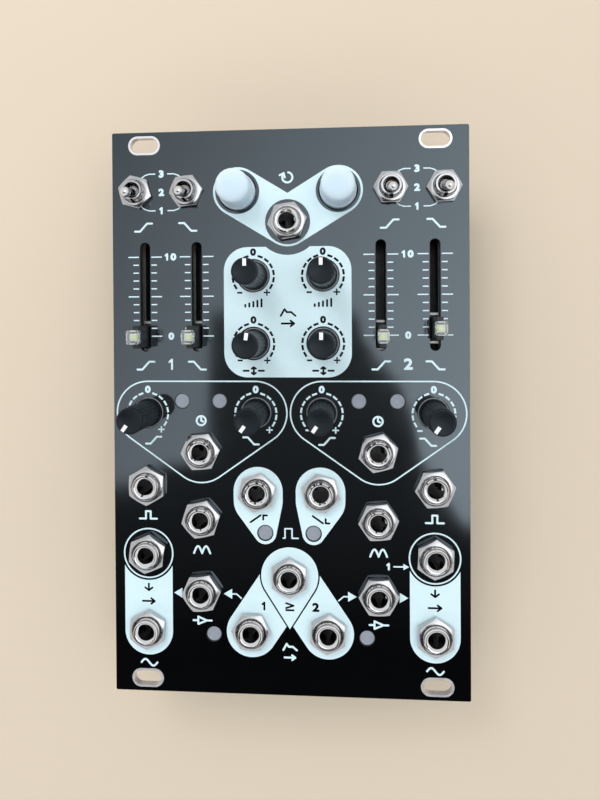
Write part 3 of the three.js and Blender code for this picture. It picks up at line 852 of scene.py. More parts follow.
def draw_gate_areas():
    for side in (-1, 1):
        paint(hull(*[(side * x, y, r) for x, y, r in DROP_AREA]))
    for side, name in ((-1, "rise_end"), (1, "fall_end")):
        sign(name, side * GATE_SIGN[0], GATE_SIGN[1], shown=False)
    stroke(STEP_SIGN, WHITE_LINE)


# Pale lobes round the three jacks in the lower middle, with a black line round the middle one
EITHER_RADIUS = 6.5
LOBE_RADIUS = 5.8
LOBE_LINE = 0.34
LOBE_POINT = (0, -49.1)
LOBE_DROP = 0.45
LOBE_DIGIT = (5.9, -44, 1.75)
# Name, place along the plate, height, whether shown, and stretch
LOBE_SIGNS = [("either", -44, 1.6, False, SIGN_STRETCH), ("envelope", -53.2, 1.4, True, 1),
              ("out", -55.6, 1.2, True, SIGN_STRETCH)]


def draw_lobes():
    either = spot("either_jack")
    for c in "ab":
        x, y = spot(f"{c}_envelope_jack")
        paint(hull((*either, LOBE_RADIUS), (x, y - LOBE_DROP, LOBE_RADIUS)))
    for grow, shown in ((LOBE_LINE, False), (0, True)):
        paint(hull((*either, EITHER_RADIUS + grow), (*LOBE_POINT, HAIR + grow)), shown)
    for side, number in ((-1, "1"), (1, "2")):
        x, y, height = LOBE_DIGIT
        digit(number, side * x, y, height, False)
    for name, y, height, shown, stretch in LOBE_SIGNS:
        sign(name, 0, y, height, shown, stretch)


# Pale columns with the audio jacks at the two sides
COLUMN_RADIUS = 5.58
COLUMN_X = 32.6
COLUMN_FOOT = -50.3
COLUMN_RING = -32.4
RING_RADII = (6.25, 5.82, 5.48)
# Name, place on the right side, height and whether shown
SIDE_SIGNS = [("into", 32.6, -40.3, 1.6, False), ("out", 32.6, -43.5, 1.4, False),
              ("wave", 32.6, -57.7, 1.5, True), ("pulse", 32.6, -23.6, 1.7, True),
              ("follow", 20.1, -31.4, 1.6, True), ("amplifier", 20.1, -47.65, 1.7, True)]
# Tip and base of the arrow heads between the jacks, and the line that bends to the middle
ARROW_Y = -41.4
ARROW_HALF = 1.15
ARROW_HEADS = ((26.65, 24.75), (15.15, 13.2))
BENT_LINE = [(13.4, 0), (12.2, 0), (11.1, -0.95)]
# Line, arrow head and digit from the right column to the follower
TO_FOLLOWER = [(23.5, -34.4), (26.0, -34.4)]
TO_FOLLOWER_HEAD = [(26.9, -34.4), (25.6, -35.1), (25.6, -33.7)]
FOLLOWER_DIGIT = (22.3, -34.4)


def draw_side_areas():
    for _, side, _ in CHANNELS:
        column = side * COLUMN_X
        paint(hull((column, COLUMN_FOOT, COLUMN_RADIUS), (column, COLUMN_RING, COLUMN_RADIUS)))
        for radius, shown in zip(RING_RADII, (False, True, False)):
            paint(disc(column, COLUMN_RING, radius), shown)
        for name, x, y, height, shown in SIDE_SIGNS:
            sign(name, side * x, y, height, shown)
        for tip, base in ARROW_HEADS:
            paint([(side * tip, ARROW_Y), (side * base, ARROW_Y - ARROW_HALF),
                   (side * base, ARROW_Y + ARROW_HALF)])
        stroke([(side * x, ARROW_Y + y) for x, y in BENT_LINE], WHITE_LINE)
    stroke(TO_FOLLOWER, WHITE_LINE)
    paint(TO_FOLLOWER_HEAD)
    digit("1", *FOLLOWER_DIGIT)


# Front plate, its print and the plated rings of its mounting slots

def long_hole(x, y, reach_x, reach_y, radius):
    """A hole with round ends, whose middles lie the given reach to both sides."""
    return hull(*[(x + way * reach_x, y + way * reach_y, radius) for way in (-1, 1)])


def slot_hole(x, y, grow):
    return long_hole(x, y, (SLOT_LENGTH - SLOT_WIDTH) / 2, 0, SLOT_WIDTH / 2 + grow)


mount_places = [(x, y) for x in (plate_low.x + SLOT_INSET_LEFT, plate_high.x - SLOT_INSET_RIGHT)
                for y in (plate_low.y + SLOT_INSET_END, plate_high.y - SLOT_INSET_END)]


def plate_holes(grow):
    holes = [slot_hole(x, y, grow) for x, y in mount_places]
    for names, ending, radius in [(jack_nodes, "", JACK_HOLE), (toggle_names, "_body", TOGGLE_HOLE),
                                  (button_names, "_body", BUTTON_HOLE), (knob_names, "_pot", POT_HOLE)]:
        holes += [disc(*spot(name + ending), radius + grow) for name in names]
    holes += [disc(x, y, LAMP_HOLE + grow) for x, y in lamp_places]
    reach = (SLIDER_SLOT_LENGTH - SLIDER_SLOT_WIDTH) / 2
    for name in slider_names:
        holes.append(long_hole(*spot(f"{name}_body"), 0, reach, SLIDER_SLOT_WIDTH / 2 + grow))
    return holes


PRINT_MARGIN = 0.12
POT_PRINT_MARGIN = 0.22
INK_INSET = 0.4
INK_HEIGHT = 0.01
BEVEL_SEGMENTS = 2
BEVEL_ANGLE = math.radians(60)
FRONT_NORMAL = 0.5


def add_plate():
    outline = rounded_outline(PLATE_WIDTH, PLATE_HEIGHT, PLATE_CORNER)
    mesh = make_mesh("front_plate", walled(outline, plate_holes(0), PLATE_REAR, PLATE_FRONT))
    mesh.materials.append(finishes["panel_black"])
    mesh.materials.append(finishes["panel_edge"])
    for face in mesh.polygons:
        face.material_index = 0 if abs(face.normal.z) > FRONT_NORMAL else 1
    piece = place("front_plate", mesh, "panel_black", "faceplate")
    bevel = piece.modifiers.new("edge", "BEVEL")
    bevel.width = PLATE_EDGE * MM
    bevel.segments = BEVEL_SEGMENTS
    bevel.limit_method = "ANGLE"
    bevel.angle_limit = BEVEL_ANGLE

    for draw in (draw_top_areas, draw_slider_areas, draw_time_areas, draw_gate_areas, draw_lobes,
                 draw_side_areas):
        draw()
    foot, top = PLATE_FRONT - PRINT_SINK, PLATE_FRONT + PRINT_HEIGHT
    pots = [disc(*spot(f"{n}_pot"), POT_HOLE + POT_PRINT_MARGIN) for n in knob_names]
    bare = [(hole, False) for hole in plate_holes(PRINT_MARGIN) + pots]
    place("panel_print", sheet(painted + bare, foot, top), "print_white", "faceplate")
    notch = disc(*spot("cycle_jack"), LEVEL_NOTCH + INK_INSET)
    under = walled(level_outline(INK_INSET), [notch] + pots, PLATE_FRONT - PRINT_SINK / 2,
                   PLATE_FRONT + INK_HEIGHT)
    place("level_ink", under, "ink_black", "faceplate")

    for number, (x, y) in enumerate(mount_places, 1):
        inner = slot_hole(x, y, -SLOT_SLEEVE)
        ring = combined([walled(slot_hole(x, y, SLOT_PLATING), [inner], foot, top),
                         walled(slot_hole(x, y, HAIR), [inner], PLATE_REAR, foot)])
        place(f"slot_plating_{number}", make_mesh("slot_plating", ring), "plating", "faceplate")


# Nuts and threaded bushes

NUT_SLOPE = math.tan(math.radians(30))
NUT_FACE_SHARE = 0.92
NUT_BORE_EDGE = 0.25
NUT_SIDES = 96
THREAD_PITCH = 0.5
THREAD_DEPTH = 0.16
THREAD_CREST = (0.4, 0.6)


def nut_part(flats, height, bore):
    """A six-sided nut on height zero, with its corners turned down at both ends."""
    face = flats / 2 * NUT_FACE_SHARE
    rim = bore + NUT_BORE_EDGE

    def outer(angle):
        return flats / 2 / math.cos((angle % (math.pi / 3)) - math.pi / 6)

    def drop(angle):
        return (outer(angle) - face) * NUT_SLOPE

    def rise(angle):
        return height - drop(angle)

    return turned([(face, 0), (outer, drop), (outer, rise), (face, height), (rim, height),
                   (bore, height - NUT_BORE_EDGE), (bore, NUT_BORE_EDGE), (rim, 0)],
                  NUT_SIDES, closed=True)


def thread_profile(radius, low, high):
    """Outer points of a thread between two heights."""
    turns = max(1, round((high - low) / THREAD_PITCH))
    pitch = (high - low) / turns
    root = radius - THREAD_DEPTH
    points = []
    for turn in range(turns):
        foot = low + turn * pitch
        points += [(root, foot)] + [(radius, foot + pitch * share) for share in THREAD_CREST]
    return points + [(root, high)]


BUSH_RIM = 0.35
JACK_RIM = 0.5
JACK_TAPER = 0.95
JACK_LUG_WIDTH = 2.4
JACK_LUG_DEPTH = 0.8
CONTACT_WIDTH = 1.6
CONTACT_SHEET = 0.25
CONTACT_REACH = 1.0
CONTACT_TOP = 0.2
CONTACT_BEND = 1.4
CONTACT_FOOT = 4.5
BUSH_SIDES = 64


def jack_parts():
    floor = BOARD_FRONT + JACK_FLOOR
    top = PLATE_FRONT + JACK_BUSH_PROUD
    root = JACK_BUSH - THREAD_DEPTH
    rim = JACK_BORE + JACK_FLARE
    bush = turned([
        (root, floor),
        *thread_profile(JACK_BUSH - HAIR, PLATE_REAR, top - JACK_TAPER),
        (root, top - JACK_TAPER),
        *stepped(JACK_BUSH, top, [(-JACK_RIM / 2, -JACK_RIM / 2), (-JACK_RIM, 0)]),
        *stepped(rim, top, [(0, 0), (-JACK_FLARE / 3, -JACK_FLARE / 5), (-JACK_FLARE, -JACK_FLARE)]),
        (JACK_BORE, floor),
    ], BUSH_SIDES, closed=True)
    outline = rounded_outline(JACK_WIDTH, JACK_LENGTH, corner=0.6)
    housing = combined([
        walled(outline, [disc(0, 0, root)], floor, PLATE_REAR),
        rounded_block(JACK_WIDTH, JACK_LENGTH, BOARD_FRONT, floor + HAIR, corner=0.6, edge=0.2),
        rounded_block(JACK_LUG_WIDTH, JACK_LENGTH + 2 * JACK_LUG_DEPTH, BOARD_FRONT,
                      (BOARD_FRONT + PLATE_REAR) / 2, corner=0.2, edge=0.15),
    ])
    leaf_top = PLATE_FRONT - CONTACT_TOP
    inner, bend = JACK_BORE - CONTACT_SHEET, JACK_BORE - CONTACT_REACH
    leaf = [(JACK_BORE, leaf_top), (inner, leaf_top), (bend, leaf_top - CONTACT_BEND),
            (inner, leaf_top - CONTACT_FOOT), (JACK_BORE, leaf_top - CONTACT_FOOT),
            (bend + CONTACT_SHEET, leaf_top - CONTACT_BEND)]
    contact = loft([[(x, side * CONTACT_WIDTH / 2, z) for x, z in leaf] for side in (-1, 1)])
    return housing, bush, contact


def add_jacks():
    housing, bush, contact = make_meshes("jack", ("housing", "bush", "contact"), jack_parts())
    nut = make_mesh("jack_nut", nut_part(JACK_NUT_FLATS, JACK_NUT_HEIGHT, JACK_BUSH))
    for node in jack_nodes:
        at = spot(node)
        turn = math.radians(NUT_TURNS[node])
        place(f"{node}_housing", housing, "black_plastic", node, at)
        place(f"{node}_bush", bush, "bright_nickel", node, at)
        place(f"{node}_contact", contact, "bright_nickel", node, at, turn)
        place(f"{node}_nut", nut, "nickel", node, (*at, PLATE_FRONT), turn)


# Toggle switches

TOGGLE_COVER_SHARE = 0.62
TOGGLE_BORE_EDGE = 0.1
KEY_ANGLE = 1.5 * math.pi
PLUG_SIDES = 48
BALL_RINGS = 11
BALL_FIRST_STEP = 0.3
TIP_RINGS = 10
TIP_STEPS = 9.6
LEVER_SIDES = 40
# Radii of the lever's shaft from the ball to the tip, where it bends as a share of its height, and
# how far its top and the tip's foot lie under the middle of the tip
SHAFT_RADII = (0.752, 0.784, 0.989, 1.127)
SHAFT_BEND = 0.7
SHAFT_TOP_DROP = 1.035
TIP_FOOT_DROP = 0.345


def toggle_parts(pivot_height, tip_reach):
    top = PLATE_FRONT + TOGGLE_BUSH_PROUD
    root = TOGGLE_BUSH - THREAD_DEPTH
    cover_low = BOARD_FRONT + TOGGLE_HEIGHT * TOGGLE_COVER_SHARE
    cover_high = BOARD_FRONT + TOGGLE_HEIGHT
    base = rounded_block(TOGGLE_WIDTH - 2 * HAIR, TOGGLE_LENGTH - 2 * HAIR, BOARD_FRONT,
                         cover_low + HAIR, corner=0.3, edge=0.15)
    cover = rounded_block(TOGGLE_WIDTH, TOGGLE_LENGTH, cover_low, cover_high, corner=0.4, edge=0.15)
    half_key = math.asin(TOGGLE_KEY_WIDTH / 2 / TOGGLE_BUSH)

    def keyed(radius):
        def at(angle):
            off = abs((angle - KEY_ANGLE + math.pi) % math.tau - math.pi)
            return min(radius, TOGGLE_BUSH - TOGGLE_KEY_DEPTH) if off < half_key else radius
        return at

    floor = pivot_height - TOGGLE_BORE - RUNNING_GAP
    outer = [(root, floor), *thread_profile(TOGGLE_BUSH - HAIR, PLATE_REAR, top - BUSH_RIM),
             (TOGGLE_BUSH, top - BUSH_RIM), (TOGGLE_BUSH - BUSH_RIM / 2, top)]
    bush = turned([
        *[(keyed(radius), height) for radius, height in outer],
        (TOGGLE_BORE + TOGGLE_BORE_EDGE, top),
        (TOGGLE_BORE, top - TOGGLE_BORE_EDGE),
        (TOGGLE_BORE, floor),
    ], NUT_SIDES, closed=True)
    plug = turned([(root, cover_high - HAIR), (root, floor)], PLUG_SIDES)

    neck_angle = math.asin(TOGGLE_NECK / TOGGLE_BALL)
    ball_step = (math.pi - neck_angle) / (BALL_RINGS - 1 + BALL_FIRST_STEP)
    ball = [(TOGGLE_BALL * math.sin(a), -TOGGLE_BALL * math.cos(a))
            for a in [ball_step * (i + BALL_FIRST_STEP) for i in range(BALL_RINGS)]]
    tip_centre = tip_reach - TOGGLE_TIP
    shaft_top = tip_centre - SHAFT_TOP_DROP
    heights = (TOGGLE_BALL, shaft_top * SHAFT_BEND, shaft_top, tip_centre - TIP_FOOT_DROP)
    tip = [(TOGGLE_TIP * math.cos(a), tip_centre + TOGGLE_TIP * math.sin(a))
           for a in [math.pi / 2 * i / TIP_STEPS for i in range(TIP_RINGS)]]
    lever = turned([*ball, *zip(SHAFT_RADII, heights), *tip], LEVER_SIDES)
    return base, combined([cover, plug]), bush, lever


def add_toggles():
    pivots = {joint["child"]: Vector(joint["pos_m"]) / MM for joint in frame["joints"]
              if joint["child"].endswith("switch_lever")}
    first = f"{toggle_names[0]}_lever"
    lever_height = node_box(first)[1].z - TOGGLE_TIP - pivots[first].z
    tip_reach = lever_height / math.cos(TOGGLE_LEAN) + TOGGLE_TIP
    base, cover, bush, bat = make_meshes("toggle", ("base", "cover", "bush", "lever"),
                                         toggle_parts(pivots[first].z, tip_reach))
    nut = make_mesh("toggle_nut", nut_part(TOGGLE_NUT_FLATS, TOGGLE_NUT_HEIGHT, TOGGLE_BUSH))
    for name in toggle_names:
        node, lever = f"{name}_body", f"{name}_lever"
        pivot = pivots[lever]
        place(f"{name}_base", base, "black_plastic", node, pivot.xy)
        place(f"{name}_cover", cover, "dull_steel", node, pivot.xy)
        place(f"{name}_bush", bush, "nickel", node, pivot.xy)
        place(f"{name}_nut", nut, "nickel", node, (*pivot.xy, PLATE_FRONT),
              math.radians(NUT_TURNS[name]))
        place(f"{name}_bat", bat, "bright_nickel", lever, pivot, lean=TOGGLE_LEAN, body=lever)


# Slide potentiometers

CHIP_SIDE = 1.1
CHIP_THICK = 0.45
CHIP_RISE = 0.7
CUP_MARGIN = 0.5
CUP_RISE = 0.3
COVER_START = 0.15
CARRIAGE_DROP = 0.5
CARRIAGE_STEP = 0.3
SHOULDER_MARGIN = 0.4
SHOULDER_HEIGHT = 1.2
CLIP_RISE = 1.0


def slider_parts():
    width, length, _, top = extents("a_rise_slider_body")
    under = top - COVER_SHEET
    outline = rounded_outline(width, length, corner=0.5)
    groove = rounded_outline(GROOVE_WIDTH, GROOVE_LENGTH, corner=0.3)
    inner = rounded_outline(width - 2 * COVER_SHEET, length - 2 * COVER_SHEET, corner=0.3)
    cover_low = BOARD_FRONT + (top - BOARD_FRONT) * COVER_START
    cover = combined([walled(outline, [groove], under, top), walled(outline, [inner], cover_low, under)])
    groove_floor = top - GROOVE_DEPTH
    core_sides = [side - 2 * COVER_SHEET - HAIR for side in (width, length)]
    core = combined([
        rounded_block(*core_sides, BOARD_FRONT, groove_floor, corner=0.2, edge=0.1),
        walled(rounded_outline(*core_sides, corner=0.3), [groove], groove_floor - HAIR, under - HAIR),
    ])
    return cover, core


def slider_lever_parts():
    _, length, low, high = extents("a_rise_slider_lever")
    width = SLIDER_SLOT_WIDTH - RUNNING_GAP
    top = PLATE_REAR - CARRIAGE_DROP
    cap_low = high - CAP_HEIGHT
    chip_low = cap_low + CHIP_RISE
    carriage = combined([
        rounded_block(width, length - 2 * CARRIAGE_CLIP, low, top - CARRIAGE_STEP, corner=0.2, edge=0.1),
        rounded_block(STALK_THICKNESS + SHOULDER_MARGIN, STALK_LENGTH + SHOULDER_MARGIN,
                      top - SHOULDER_HEIGHT, top, corner=0.2, edge=0.15),
    ])
    clip = rounded_block(width, CARRIAGE_CLIP, low + CLIP_RISE, top, corner=0.15, edge=0.1)
    clips = combined([moved(clip, y=way * (length - CARRIAGE_CLIP) / 2) for way in (-1, 1)])
    stalk = rounded_block(STALK_THICKNESS, STALK_LENGTH, low, cap_low + HAIR, corner=0.3, edge=0.12)
    cap = rounded_block(CAP_WIDTH, CAP_LENGTH, cap_low, high, corner=0.45, edge=0.3)
    cup_side = CHIP_SIDE + CUP_MARGIN
    cup = rounded_block(cup_side, cup_side, cap_low + CUP_RISE, chip_low, corner=0.2, edge=0.08)
    chip = rounded_block(CHIP_SIDE, CHIP_SIDE, chip_low, chip_low + CHIP_THICK, corner=0.2, edge=0.1)
    return carriage, clips, stalk, cap, cup, chip


def add_sliders():
    cover, core = make_meshes("slider", ("cover", "core"), slider_parts())
    looks = {"carriage": ("black_plastic", None), "clips": ("dull_steel", "bare_metal"),
             "stalk": ("black_plastic", None), "cap": ("clear_plastic", None),
             "cup": ("pointer_white", None), "chip": ("lamp_chip", None)}
    meshes = make_meshes("slider", looks, slider_lever_parts())
    for name in slider_names:
        node, lever = f"{name}_body", f"{name}_lever"
        place(f"{name}_cover", cover, "dull_steel", node, spot(node))
        place(f"{name}_core", core, "black_plastic", node, spot(node))
        place_set(name, looks, meshes, lever, spot(lever), lever)


# Rotary potentiometers and knobs

DIAL_HALF = math.radians(145)
KNOB_TURNS = {"a_offset": math.radians(-8)}
# Steps of the knob's outline off its radius, its flange's radius and the heights of its parts
KNOB_FOOT = [(-0.2, 0), (0, 0.2)]
FLANGE_FOOT = [(-0.1, 0), (0, 0.1)]
FLANGE_TOP = [(0, -0.5), (-0.1, -0.35)]
GRIP_FOOT = [(0.04, -0.2), (0, 0)]
FLUTE_START = 0.4
FLUTE_END = 0.9
FLUTE_FADE = 0.6
KNOB_RIM = [(0, -0.3), (-0.08, -0.1), (-0.3, 0), (-0.5, 0), (-0.6, -0.06)]
# Outline of the pointer off the knob's radius and top
POINTER_OUTLINE = [(-1.75, -0.3), (-0.2, -0.3), (-0.1, -0.25), (-0.25, 0), (-1.7, 0), (-1.75, -0.05)]
WAFER_SHARE = 0.3
WAFER_INSETS = (0.6, 0.4)
COLLAR_SINK = 0.5
COLLAR_EDGES = (0.1, 0.08)
COLLAR_SIDES = 72


def fluted(depth):
    """The knob's radius with narrow grooves."""
    def at(angle):
        wave = 0.5 - 0.5 * math.cos(FLUTES * angle)
        return KNOB_RADIUS - depth * wave ** 3
    return at


def knob_part():
    top = node_box("a_level_knob")[1].z - HAIR
    grip = PLATE_FRONT + KNOB_GRIP_START
    flange = PLATE_FRONT + KNOB_FLANGE_GAP
    return turned([
        *stepped(KNOB_RADIUS, BOARD_FRONT + POT_HEIGHT + RUNNING_GAP, KNOB_FOOT),
        (KNOB_RADIUS, flange),
        *stepped(KNOB_FLANGE_RADIUS, flange, FLANGE_FOOT),
        *stepped(KNOB_FLANGE_RADIUS, grip, FLANGE_TOP),
        *stepped(KNOB_RADIUS, grip, GRIP_FOOT),
        (fluted(FLUTE_DEPTH), grip + FLUTE_START),
        (fluted(FLUTE_DEPTH), top - FLUTE_END),
        (fluted(FLUTE_DEPTH / 4), top - FLUTE_FADE),
        *stepped(KNOB_RADIUS, top, KNOB_RIM),
    ], KNOB_SIDES)


def pointer_part():
    """A white strip let into the knob's top, which runs out over its edge."""
    outline = stepped(KNOB_RADIUS, node_box("a_level_knob")[1].z, POINTER_OUTLINE)
    return loft([[(x, y, z) for y, z in outline] for x in (-POINTER_WIDTH / 2, POINTER_WIDTH / 2)])


def pot_parts():
    width, length, _, top = extents("a_level_pot")
    body_top = BOARD_FRONT + POT_HEIGHT
    wafer_top = BOARD_FRONT + POT_HEIGHT * WAFER_SHARE
    shield = rounded_block(width, length, wafer_top, body_top, corner=0.6, edge=0.25)
    wafer = rounded_block(width - WAFER_INSETS[0], length - WAFER_INSETS[1], BOARD_FRONT,
                          wafer_top + HAIR, corner=0.4, edge=0.1)
    inner, foot = COLLAR_RADIUS - COLLAR_WALL, body_top - COLLAR_SINK
    drop, edge = COLLAR_EDGES
    collar = turned([(COLLAR_RADIUS, foot), (COLLAR_RADIUS, top - drop), (COLLAR_RADIUS - edge, top),
                     (inner + edge, top), (inner, top - edge), (inner, foot)], COLLAR_SIDES, closed=True)
    return shield, wafer, collar


def add_knobs():
    shield, wafer, collar = make_meshes("pot", ("shield", "wafer", "collar"), pot_parts())
    grip = make_mesh("knob", knob_part())
    pointer = make_mesh("pointer", pointer_part())
    for name in knob_names:
        pot, knob = f"{name}_pot", f"{name}_knob"
        at = spot(pot)
        place(f"{pot}_shield", shield, "dull_steel", pot, at)
        place(f"{pot}_wafer", wafer, "black_plastic", pot, at)
        place(f"{pot}_collar", collar, "collar_metal", pot, at)
        turn = KNOB_TURNS.get(name, DIAL_HALF if "time" in name else 0)
        place(f"{name}_grip", grip, "knob_plastic", knob, at, turn, body=knob)
        place(f"{name}_pointer", pointer, "pointer_white", knob, at, turn, body=knob)


# Push buttons

SWITCH_TOP_DROP = 1.5
SKIRT_DROP = 1.3
BUTTON_TRAVEL = 1.2
BUTTON_SIDES = 96
# Steps of the cap's outline off its skirt, off the height to which it sinks, and off its top
BUTTON_FOOT = [(-0.15, 0), (0, 0.15)]
BUTTON_SHOULDER = [(0, -0.15), (-0.12, 0), (-0.12, 0.5), (-0.3, 0.7)]
BUTTON_CROWN = [(0.1, -1.7), (0, -0.85), (-0.12, -0.612), (-0.36, -0.408), (-0.72, -0.2465),
                (-1.2, -0.1275), (-1.9, -0.0425)]
CROWN_MIDDLE = 0.3


def button_parts():
    _, _, stem_foot, top = extents("a_cycle_button_cap")
    width, _, _, body_top = extents("a_cycle_button_body")
    floor = stem_foot - SWITCH_TOP_DROP
    body = combined([
        rounded_block(width, width, BOARD_FRONT, floor, corner=0.5, edge=0.15),
        walled(rounded_outline(width, width, corner=0.5), [disc(0, 0, BUTTON_STEM + RUNNING_GAP)],
               floor - HAIR, body_top),
    ])
    skirt = PLATE_REAR - SKIRT_DROP
    cap = turned([
        (BUTTON_STEM, stem_foot),
        (BUTTON_STEM, skirt),
        *stepped(BUTTON_RADIUS, skirt, BUTTON_FOOT),
        *stepped(BUTTON_RADIUS, PLATE_FRONT + BUTTON_TRAVEL, BUTTON_SHOULDER),
        *stepped(BUTTON_TOP_RADIUS, top, BUTTON_CROWN),
        (CROWN_MIDDLE, top),
    ], BUTTON_SIDES)
    return body, cap


def add_buttons():
    switch, dome = make_meshes("button", ("switch", "cap"), button_parts())
    for name in button_names:
        node, cap = f"{name}_body", f"{name}_cap"
        place(f"{name}_switch", switch, "black_plastic", node, spot(node))
        place(f"{name}_dome", dome, "milky_plastic", cap, spot(node), body=cap)


# Lamps, board and the parts on its rear

# Steps of the lens's outline off the lamp's radius and top, the last one near its middle
LENS_OUTLINE = [(0, -0.2), (-0.06, -0.08), (-0.2, 0), (-0.45, -0.02), (-0.6, -0.1), (-0.75, -0.03),
                (-0.95, -0.04), (-1.1, -0.11), (-1.25, -0.05), (0.2 - LAMP_RADIUS, -0.06)]
LENS_SIDES = 48


def add_lamps():
    top = node_box("circuit_board")[1].z
    lens = make_mesh("lamp_lens", turned([
        (LAMP_RADIUS, BOARD_FRONT), *stepped(LAMP_RADIUS, top, LENS_OUTLINE)], LENS_SIDES))
    for number, at in enumerate(lamp_places, 1):
        place(f"lamp_{number}", lens, "lamp_frost", "circuit_board", at)


PAD_RADIUS = 0.95
PAD_HEIGHT = 0.05
PAD_SIDES = 24
CONE_SIDES = 20
SOLDER_CONE = [(0.25, -1.1), (0.33, -0.88), (0.42, -0.55), (0.75, -PAD_HEIGHT), (0.75, HAIR)]
# Pins of the front controls that come through the board, from the middle of each control
PIN_PLACES = [
    (jack_nodes, "", [(-2.2, -4.2), (2.2, -4.2), (0, 4.6)]),
    (knob_names, "_pot", [(-2.5, -4.2), (0, -4.2), (2.5, -4.2)]),
    (toggle_names, "_body", [(0, -2.5), (0, 0), (0, 2.5)]),
    (slider_names, "_body", [(-2.4, -14.6), (-2.4, 14.6), (2.4, -14.6), (2.4, 14.6)]),
    (button_names, "_body", [(-3.2, -3.4), (-3.2, 3.4), (3.2, -3.4), (3.2, 3.4)]),
]

CHIP_SHARES = [(x, y) for y in (0.12, -0.04) for x in (-0.28, -0.1, 0.1, 0.28)] + [
    (-0.34, -0.24), (0.34, -0.24)]
chip_places = [(x * PLATE_WIDTH, y * PLATE_HEIGHT) for x, y in CHIP_SHARES]
CHIP_LEGS_OUT = 1.0
CHIP_GAP = 0.1
MARK_DISC = [(0.35, 0), (0.3, 0.04)]
MARK_INSETS = (0.8, 0.7)
LEG_PITCH = 0.65
LEG_COUNT = 7
LEG_WIDTH = 0.26
# Length of each of a leg's three blocks, its depths under the board's rear, its corner and its
# distance from the chip's middle
LEG_BLOCKS = [(0.44, 0.85, 0.65, 0.05, 1.6), (0.16, 0.8, 0.05, 0.04, 1.72), (0.36, 0.16, 0, 0.05, 1.82)]


def chip_parts():
    """A chip's body under the board's rear face, the mark on it and its legs."""
    width = CHIP_WIDTH - CHIP_LEGS_OUT
    low = BOARD_REAR - CHIP_HEIGHT
    body = rounded_block(CHIP_LENGTH, width, low, BOARD_REAR - CHIP_GAP, corner=0.15, edge=0.12)
    mark = moved(turned(MARK_DISC, CONE_SIDES), MARK_INSETS[0] - CHIP_LENGTH / 2,
                 MARK_INSETS[1] - width / 2, low - HAIR / 2)
    blocks = [(rounded_block(LEG_WIDTH, length, BOARD_REAR - deep, BOARD_REAR - shallow,
                             corner=corner, edge=0.03), out)
              for length, deep, shallow, corner, out in LEG_BLOCKS]
    legs = [moved(block, x, side * out)
            for side in (-1, 1) for x in row(LEG_COUNT, LEG_PITCH) for block, out in blocks]
    return body, mark, combined(legs)


RESISTOR_LENGTH = 1.6
RESISTOR_WIDTH = 0.8
RESISTOR_HEIGHT = 0.5
RESISTOR_END = 0.3
RESISTOR_COUNT = 4
RESISTOR_PITCH = 1.5
RESISTOR_AWAY = 4.1
# How much narrower, shorter and flatter the dark body is than the whole resistor
RESISTOR_TRIMS = (0.05, 0.5, 0.03)


def resistor_parts():
    low = BOARD_REAR - RESISTOR_HEIGHT
    narrow, short, flat = RESISTOR_TRIMS
    body = rounded_block(RESISTOR_WIDTH - narrow, RESISTOR_LENGTH - short, low + flat, BOARD_REAR,
                         corner=0.05, edge=0.03)
    end = rounded_block(RESISTOR_WIDTH, RESISTOR_END, low, BOARD_REAR, corner=0.06, edge=0.05)
    reach = (RESISTOR_LENGTH - RESISTOR_END) / 2
    places = [(x + step, y + way * RESISTOR_AWAY) for x, y in chip_places
              for step in row(RESISTOR_COUNT, RESISTOR_PITCH) for way in (-1, 1)]
    return (combined([moved(body, x, y) for x, y in places]),
            combined([moved(end, x, y + way * reach) for x, y in places for way in (-1, 1)]))


TRACK_WIDTH = 0.35
TRACK_HEIGHT = 0.04
TRACK_START = 1.9
TRACK_SIDES = 8
# Least and greatest length of a track's first, slanted and last stretch
TRACK_RUNS = ((0.6, 2.0), (1.0, 4.5), (1.0, 3.5))


def track_outlines():
    """Copper tracks under the mask: from each chip a fan of lines with one slanted stretch."""
    outlines = []
    radius = TRACK_WIDTH / 2
    for chip_x, chip_y in chip_places:
        for step in row(LEG_COUNT, LEG_PITCH):
            for way in (-1, 1):
                x = chip_x + step
                start = chip_y + way * TRACK_START
                bend = start + way * random.uniform(*TRACK_RUNS[0])
                slide = random.choice((-1, 1)) * random.uniform(*TRACK_RUNS[1])
                end = bend + way * (abs(slide) + random.uniform(*TRACK_RUNS[2]))
                points = [(x, start), (x, bend), (x + slide, bend + way * abs(slide)), (x + slide, end)]
                for a, b in zip(points, points[1:]):
                    outlines.append((hull((*a, radius, TRACK_SIDES), (*b, radius, TRACK_SIDES)), True))
    return outlines


CHIP_LOOKS = {"": "chip_black", "_mark": "resistor_black", "_legs": "solder"}


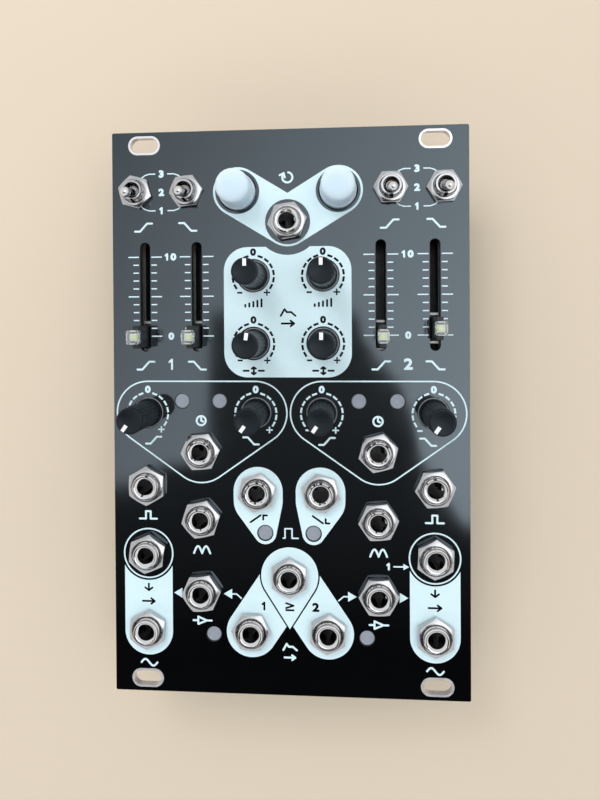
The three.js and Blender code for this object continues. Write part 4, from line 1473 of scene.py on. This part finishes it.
def add_board():
    node = "circuit_board"
    width, length, _, _ = extents(node)
    board = rounded_block(width, length, BOARD_REAR, BOARD_FRONT, corner=0.8, edge=0.1)
    place("board", board, "board_mask", node)
    tracks = sheet(track_outlines(), BOARD_REAR - TRACK_HEIGHT, BOARD_REAR + TRACK_HEIGHT)
    place("board_tracks", tracks, "board_track", node)

    pins = [(x + px, y + py) for names, ending, offsets in PIN_PLACES
            for x, y in [spot(name + ending) for name in names] for px, py in offsets]
    pad = turned([(PAD_RADIUS, -PAD_HEIGHT), (PAD_RADIUS, HAIR)], PAD_SIDES)
    for name, part, finish in (("solder_pads", pad, "gold"),
                               ("solder_joints", turned(SOLDER_CONE, CONE_SIDES), "solder")):
        place(name, combined([moved(part, x, y, BOARD_REAR) for x, y in pins]), finish, node)

    meshes = [make_mesh(f"chip{ending}", part) for ending, part in zip(CHIP_LOOKS, chip_parts())]
    for number, at in enumerate(chip_places, 1):
        for (ending, finish), mesh in zip(CHIP_LOOKS.items(), meshes):
            place(f"chip_{number}{ending}", mesh, finish, node, at)
    bodies, ends = resistor_parts()
    place("resistors", bodies, "resistor_black", node)
    place("resistor_ends", ends, "solder", node)


def add_header():
    node = "power_header"
    width, length, low, high = extents(node)
    floor = high - HEADER_FLOOR
    cavity = rounded_outline(width - 2 * HEADER_WALL, length - 2 * HEADER_WALL, corner=0.3)
    key_y = (length - HEADER_WALL) / 2
    key = [(x, y + key_y) for x, y in rounded_outline(HEADER_KEY, HEADER_WALL + 1, corner=0.1)]
    shroud = combined([
        walled(rounded_outline(width, length, corner=0.3), [cavity, key], low, floor),
        rounded_block(width, length, floor - HAIR, high, corner=0.3, edge=0.1),
    ])
    place("header_shroud", shroud, "black_plastic", node, spot(node))
    pin = rounded_block(PIN_WIDTH, PIN_WIDTH, low + PIN_SINK, floor, corner=0.06, edge=0.16)
    pins = [moved(pin, x, y) for x in row(PIN_COLUMNS, PIN_PITCH) for y in row(PIN_ROWS, PIN_PITCH)]
    place("header_pins", combined(pins), "gold", node, spot(node))


CAN_SIDES = 72
# Steps of the can's outline off its radius and its lowest and highest level
CAN_TOP = [(0.4 - CAPACITOR_RADIUS, 0.12), (-0.9, 0.12), (-0.6, 0), (-0.3, 0), (0, 0.35)]
CAN_FOOT = [(0, -1.6), (-0.3, -1.35), (-0.3, -1.15), (0, -0.9), (0, -0.75)]
BASE_HEIGHT = 0.8
VENT_LENGTH = 5.6
VENT_WIDTH = 0.16
VENT_LEVELS = (0.08, 0.14)
BAND_INSET = 0.65
BAND_START = 1.8
BAND_LEVELS = (0.1, 0.15)


def add_capacitors():
    _, _, low, high = extents("filter_capacitor_left")
    side = CAPACITOR_RADIUS
    can = turned(stepped(side, low, CAN_TOP) + stepped(side, high, CAN_FOOT), CAN_SIDES)
    base = rounded_block(CAPACITOR_BASE, CAPACITOR_BASE, high - BASE_HEIGHT, high, corner=0.5, edge=0.1)
    vent = rounded_block(VENT_LENGTH, VENT_WIDTH, *[low + level for level in VENT_LEVELS],
                         corner=0.06, edge=0.02)
    vents = combined([moved(vent, turn=turn) for turn in (0, math.pi / 2)])
    bare = [(-side, -side), (side, -side), (side, BAND_START), (-side, BAND_START)]
    band = walled(disc(0, 0, side - BAND_INSET), [bare], *[low + level for level in BAND_LEVELS])
    looks = {"can": ("can_metal", None), "base": ("black_plastic", None),
             "vent": ("resistor_black", "capacitor_can"), "band": ("resistor_black", "capacitor_can")}
    meshes = make_meshes("capacitor", looks, (can, base, vents, band))
    for node in ("filter_capacitor_left", "filter_capacitor_right"):
        place_set(node, looks, meshes, node, spot(node))


add_camera()
add_world()
add_lamp()
add_floor()
add_plate()
add_jacks()
add_toggles()
add_sliders()
add_knobs()
add_buttons()
add_lamps()
add_board()
add_header()
add_capacitors()

bpy.context.scene.view_settings.view_transform = "Standard"
bpy.context.view_layer.update()
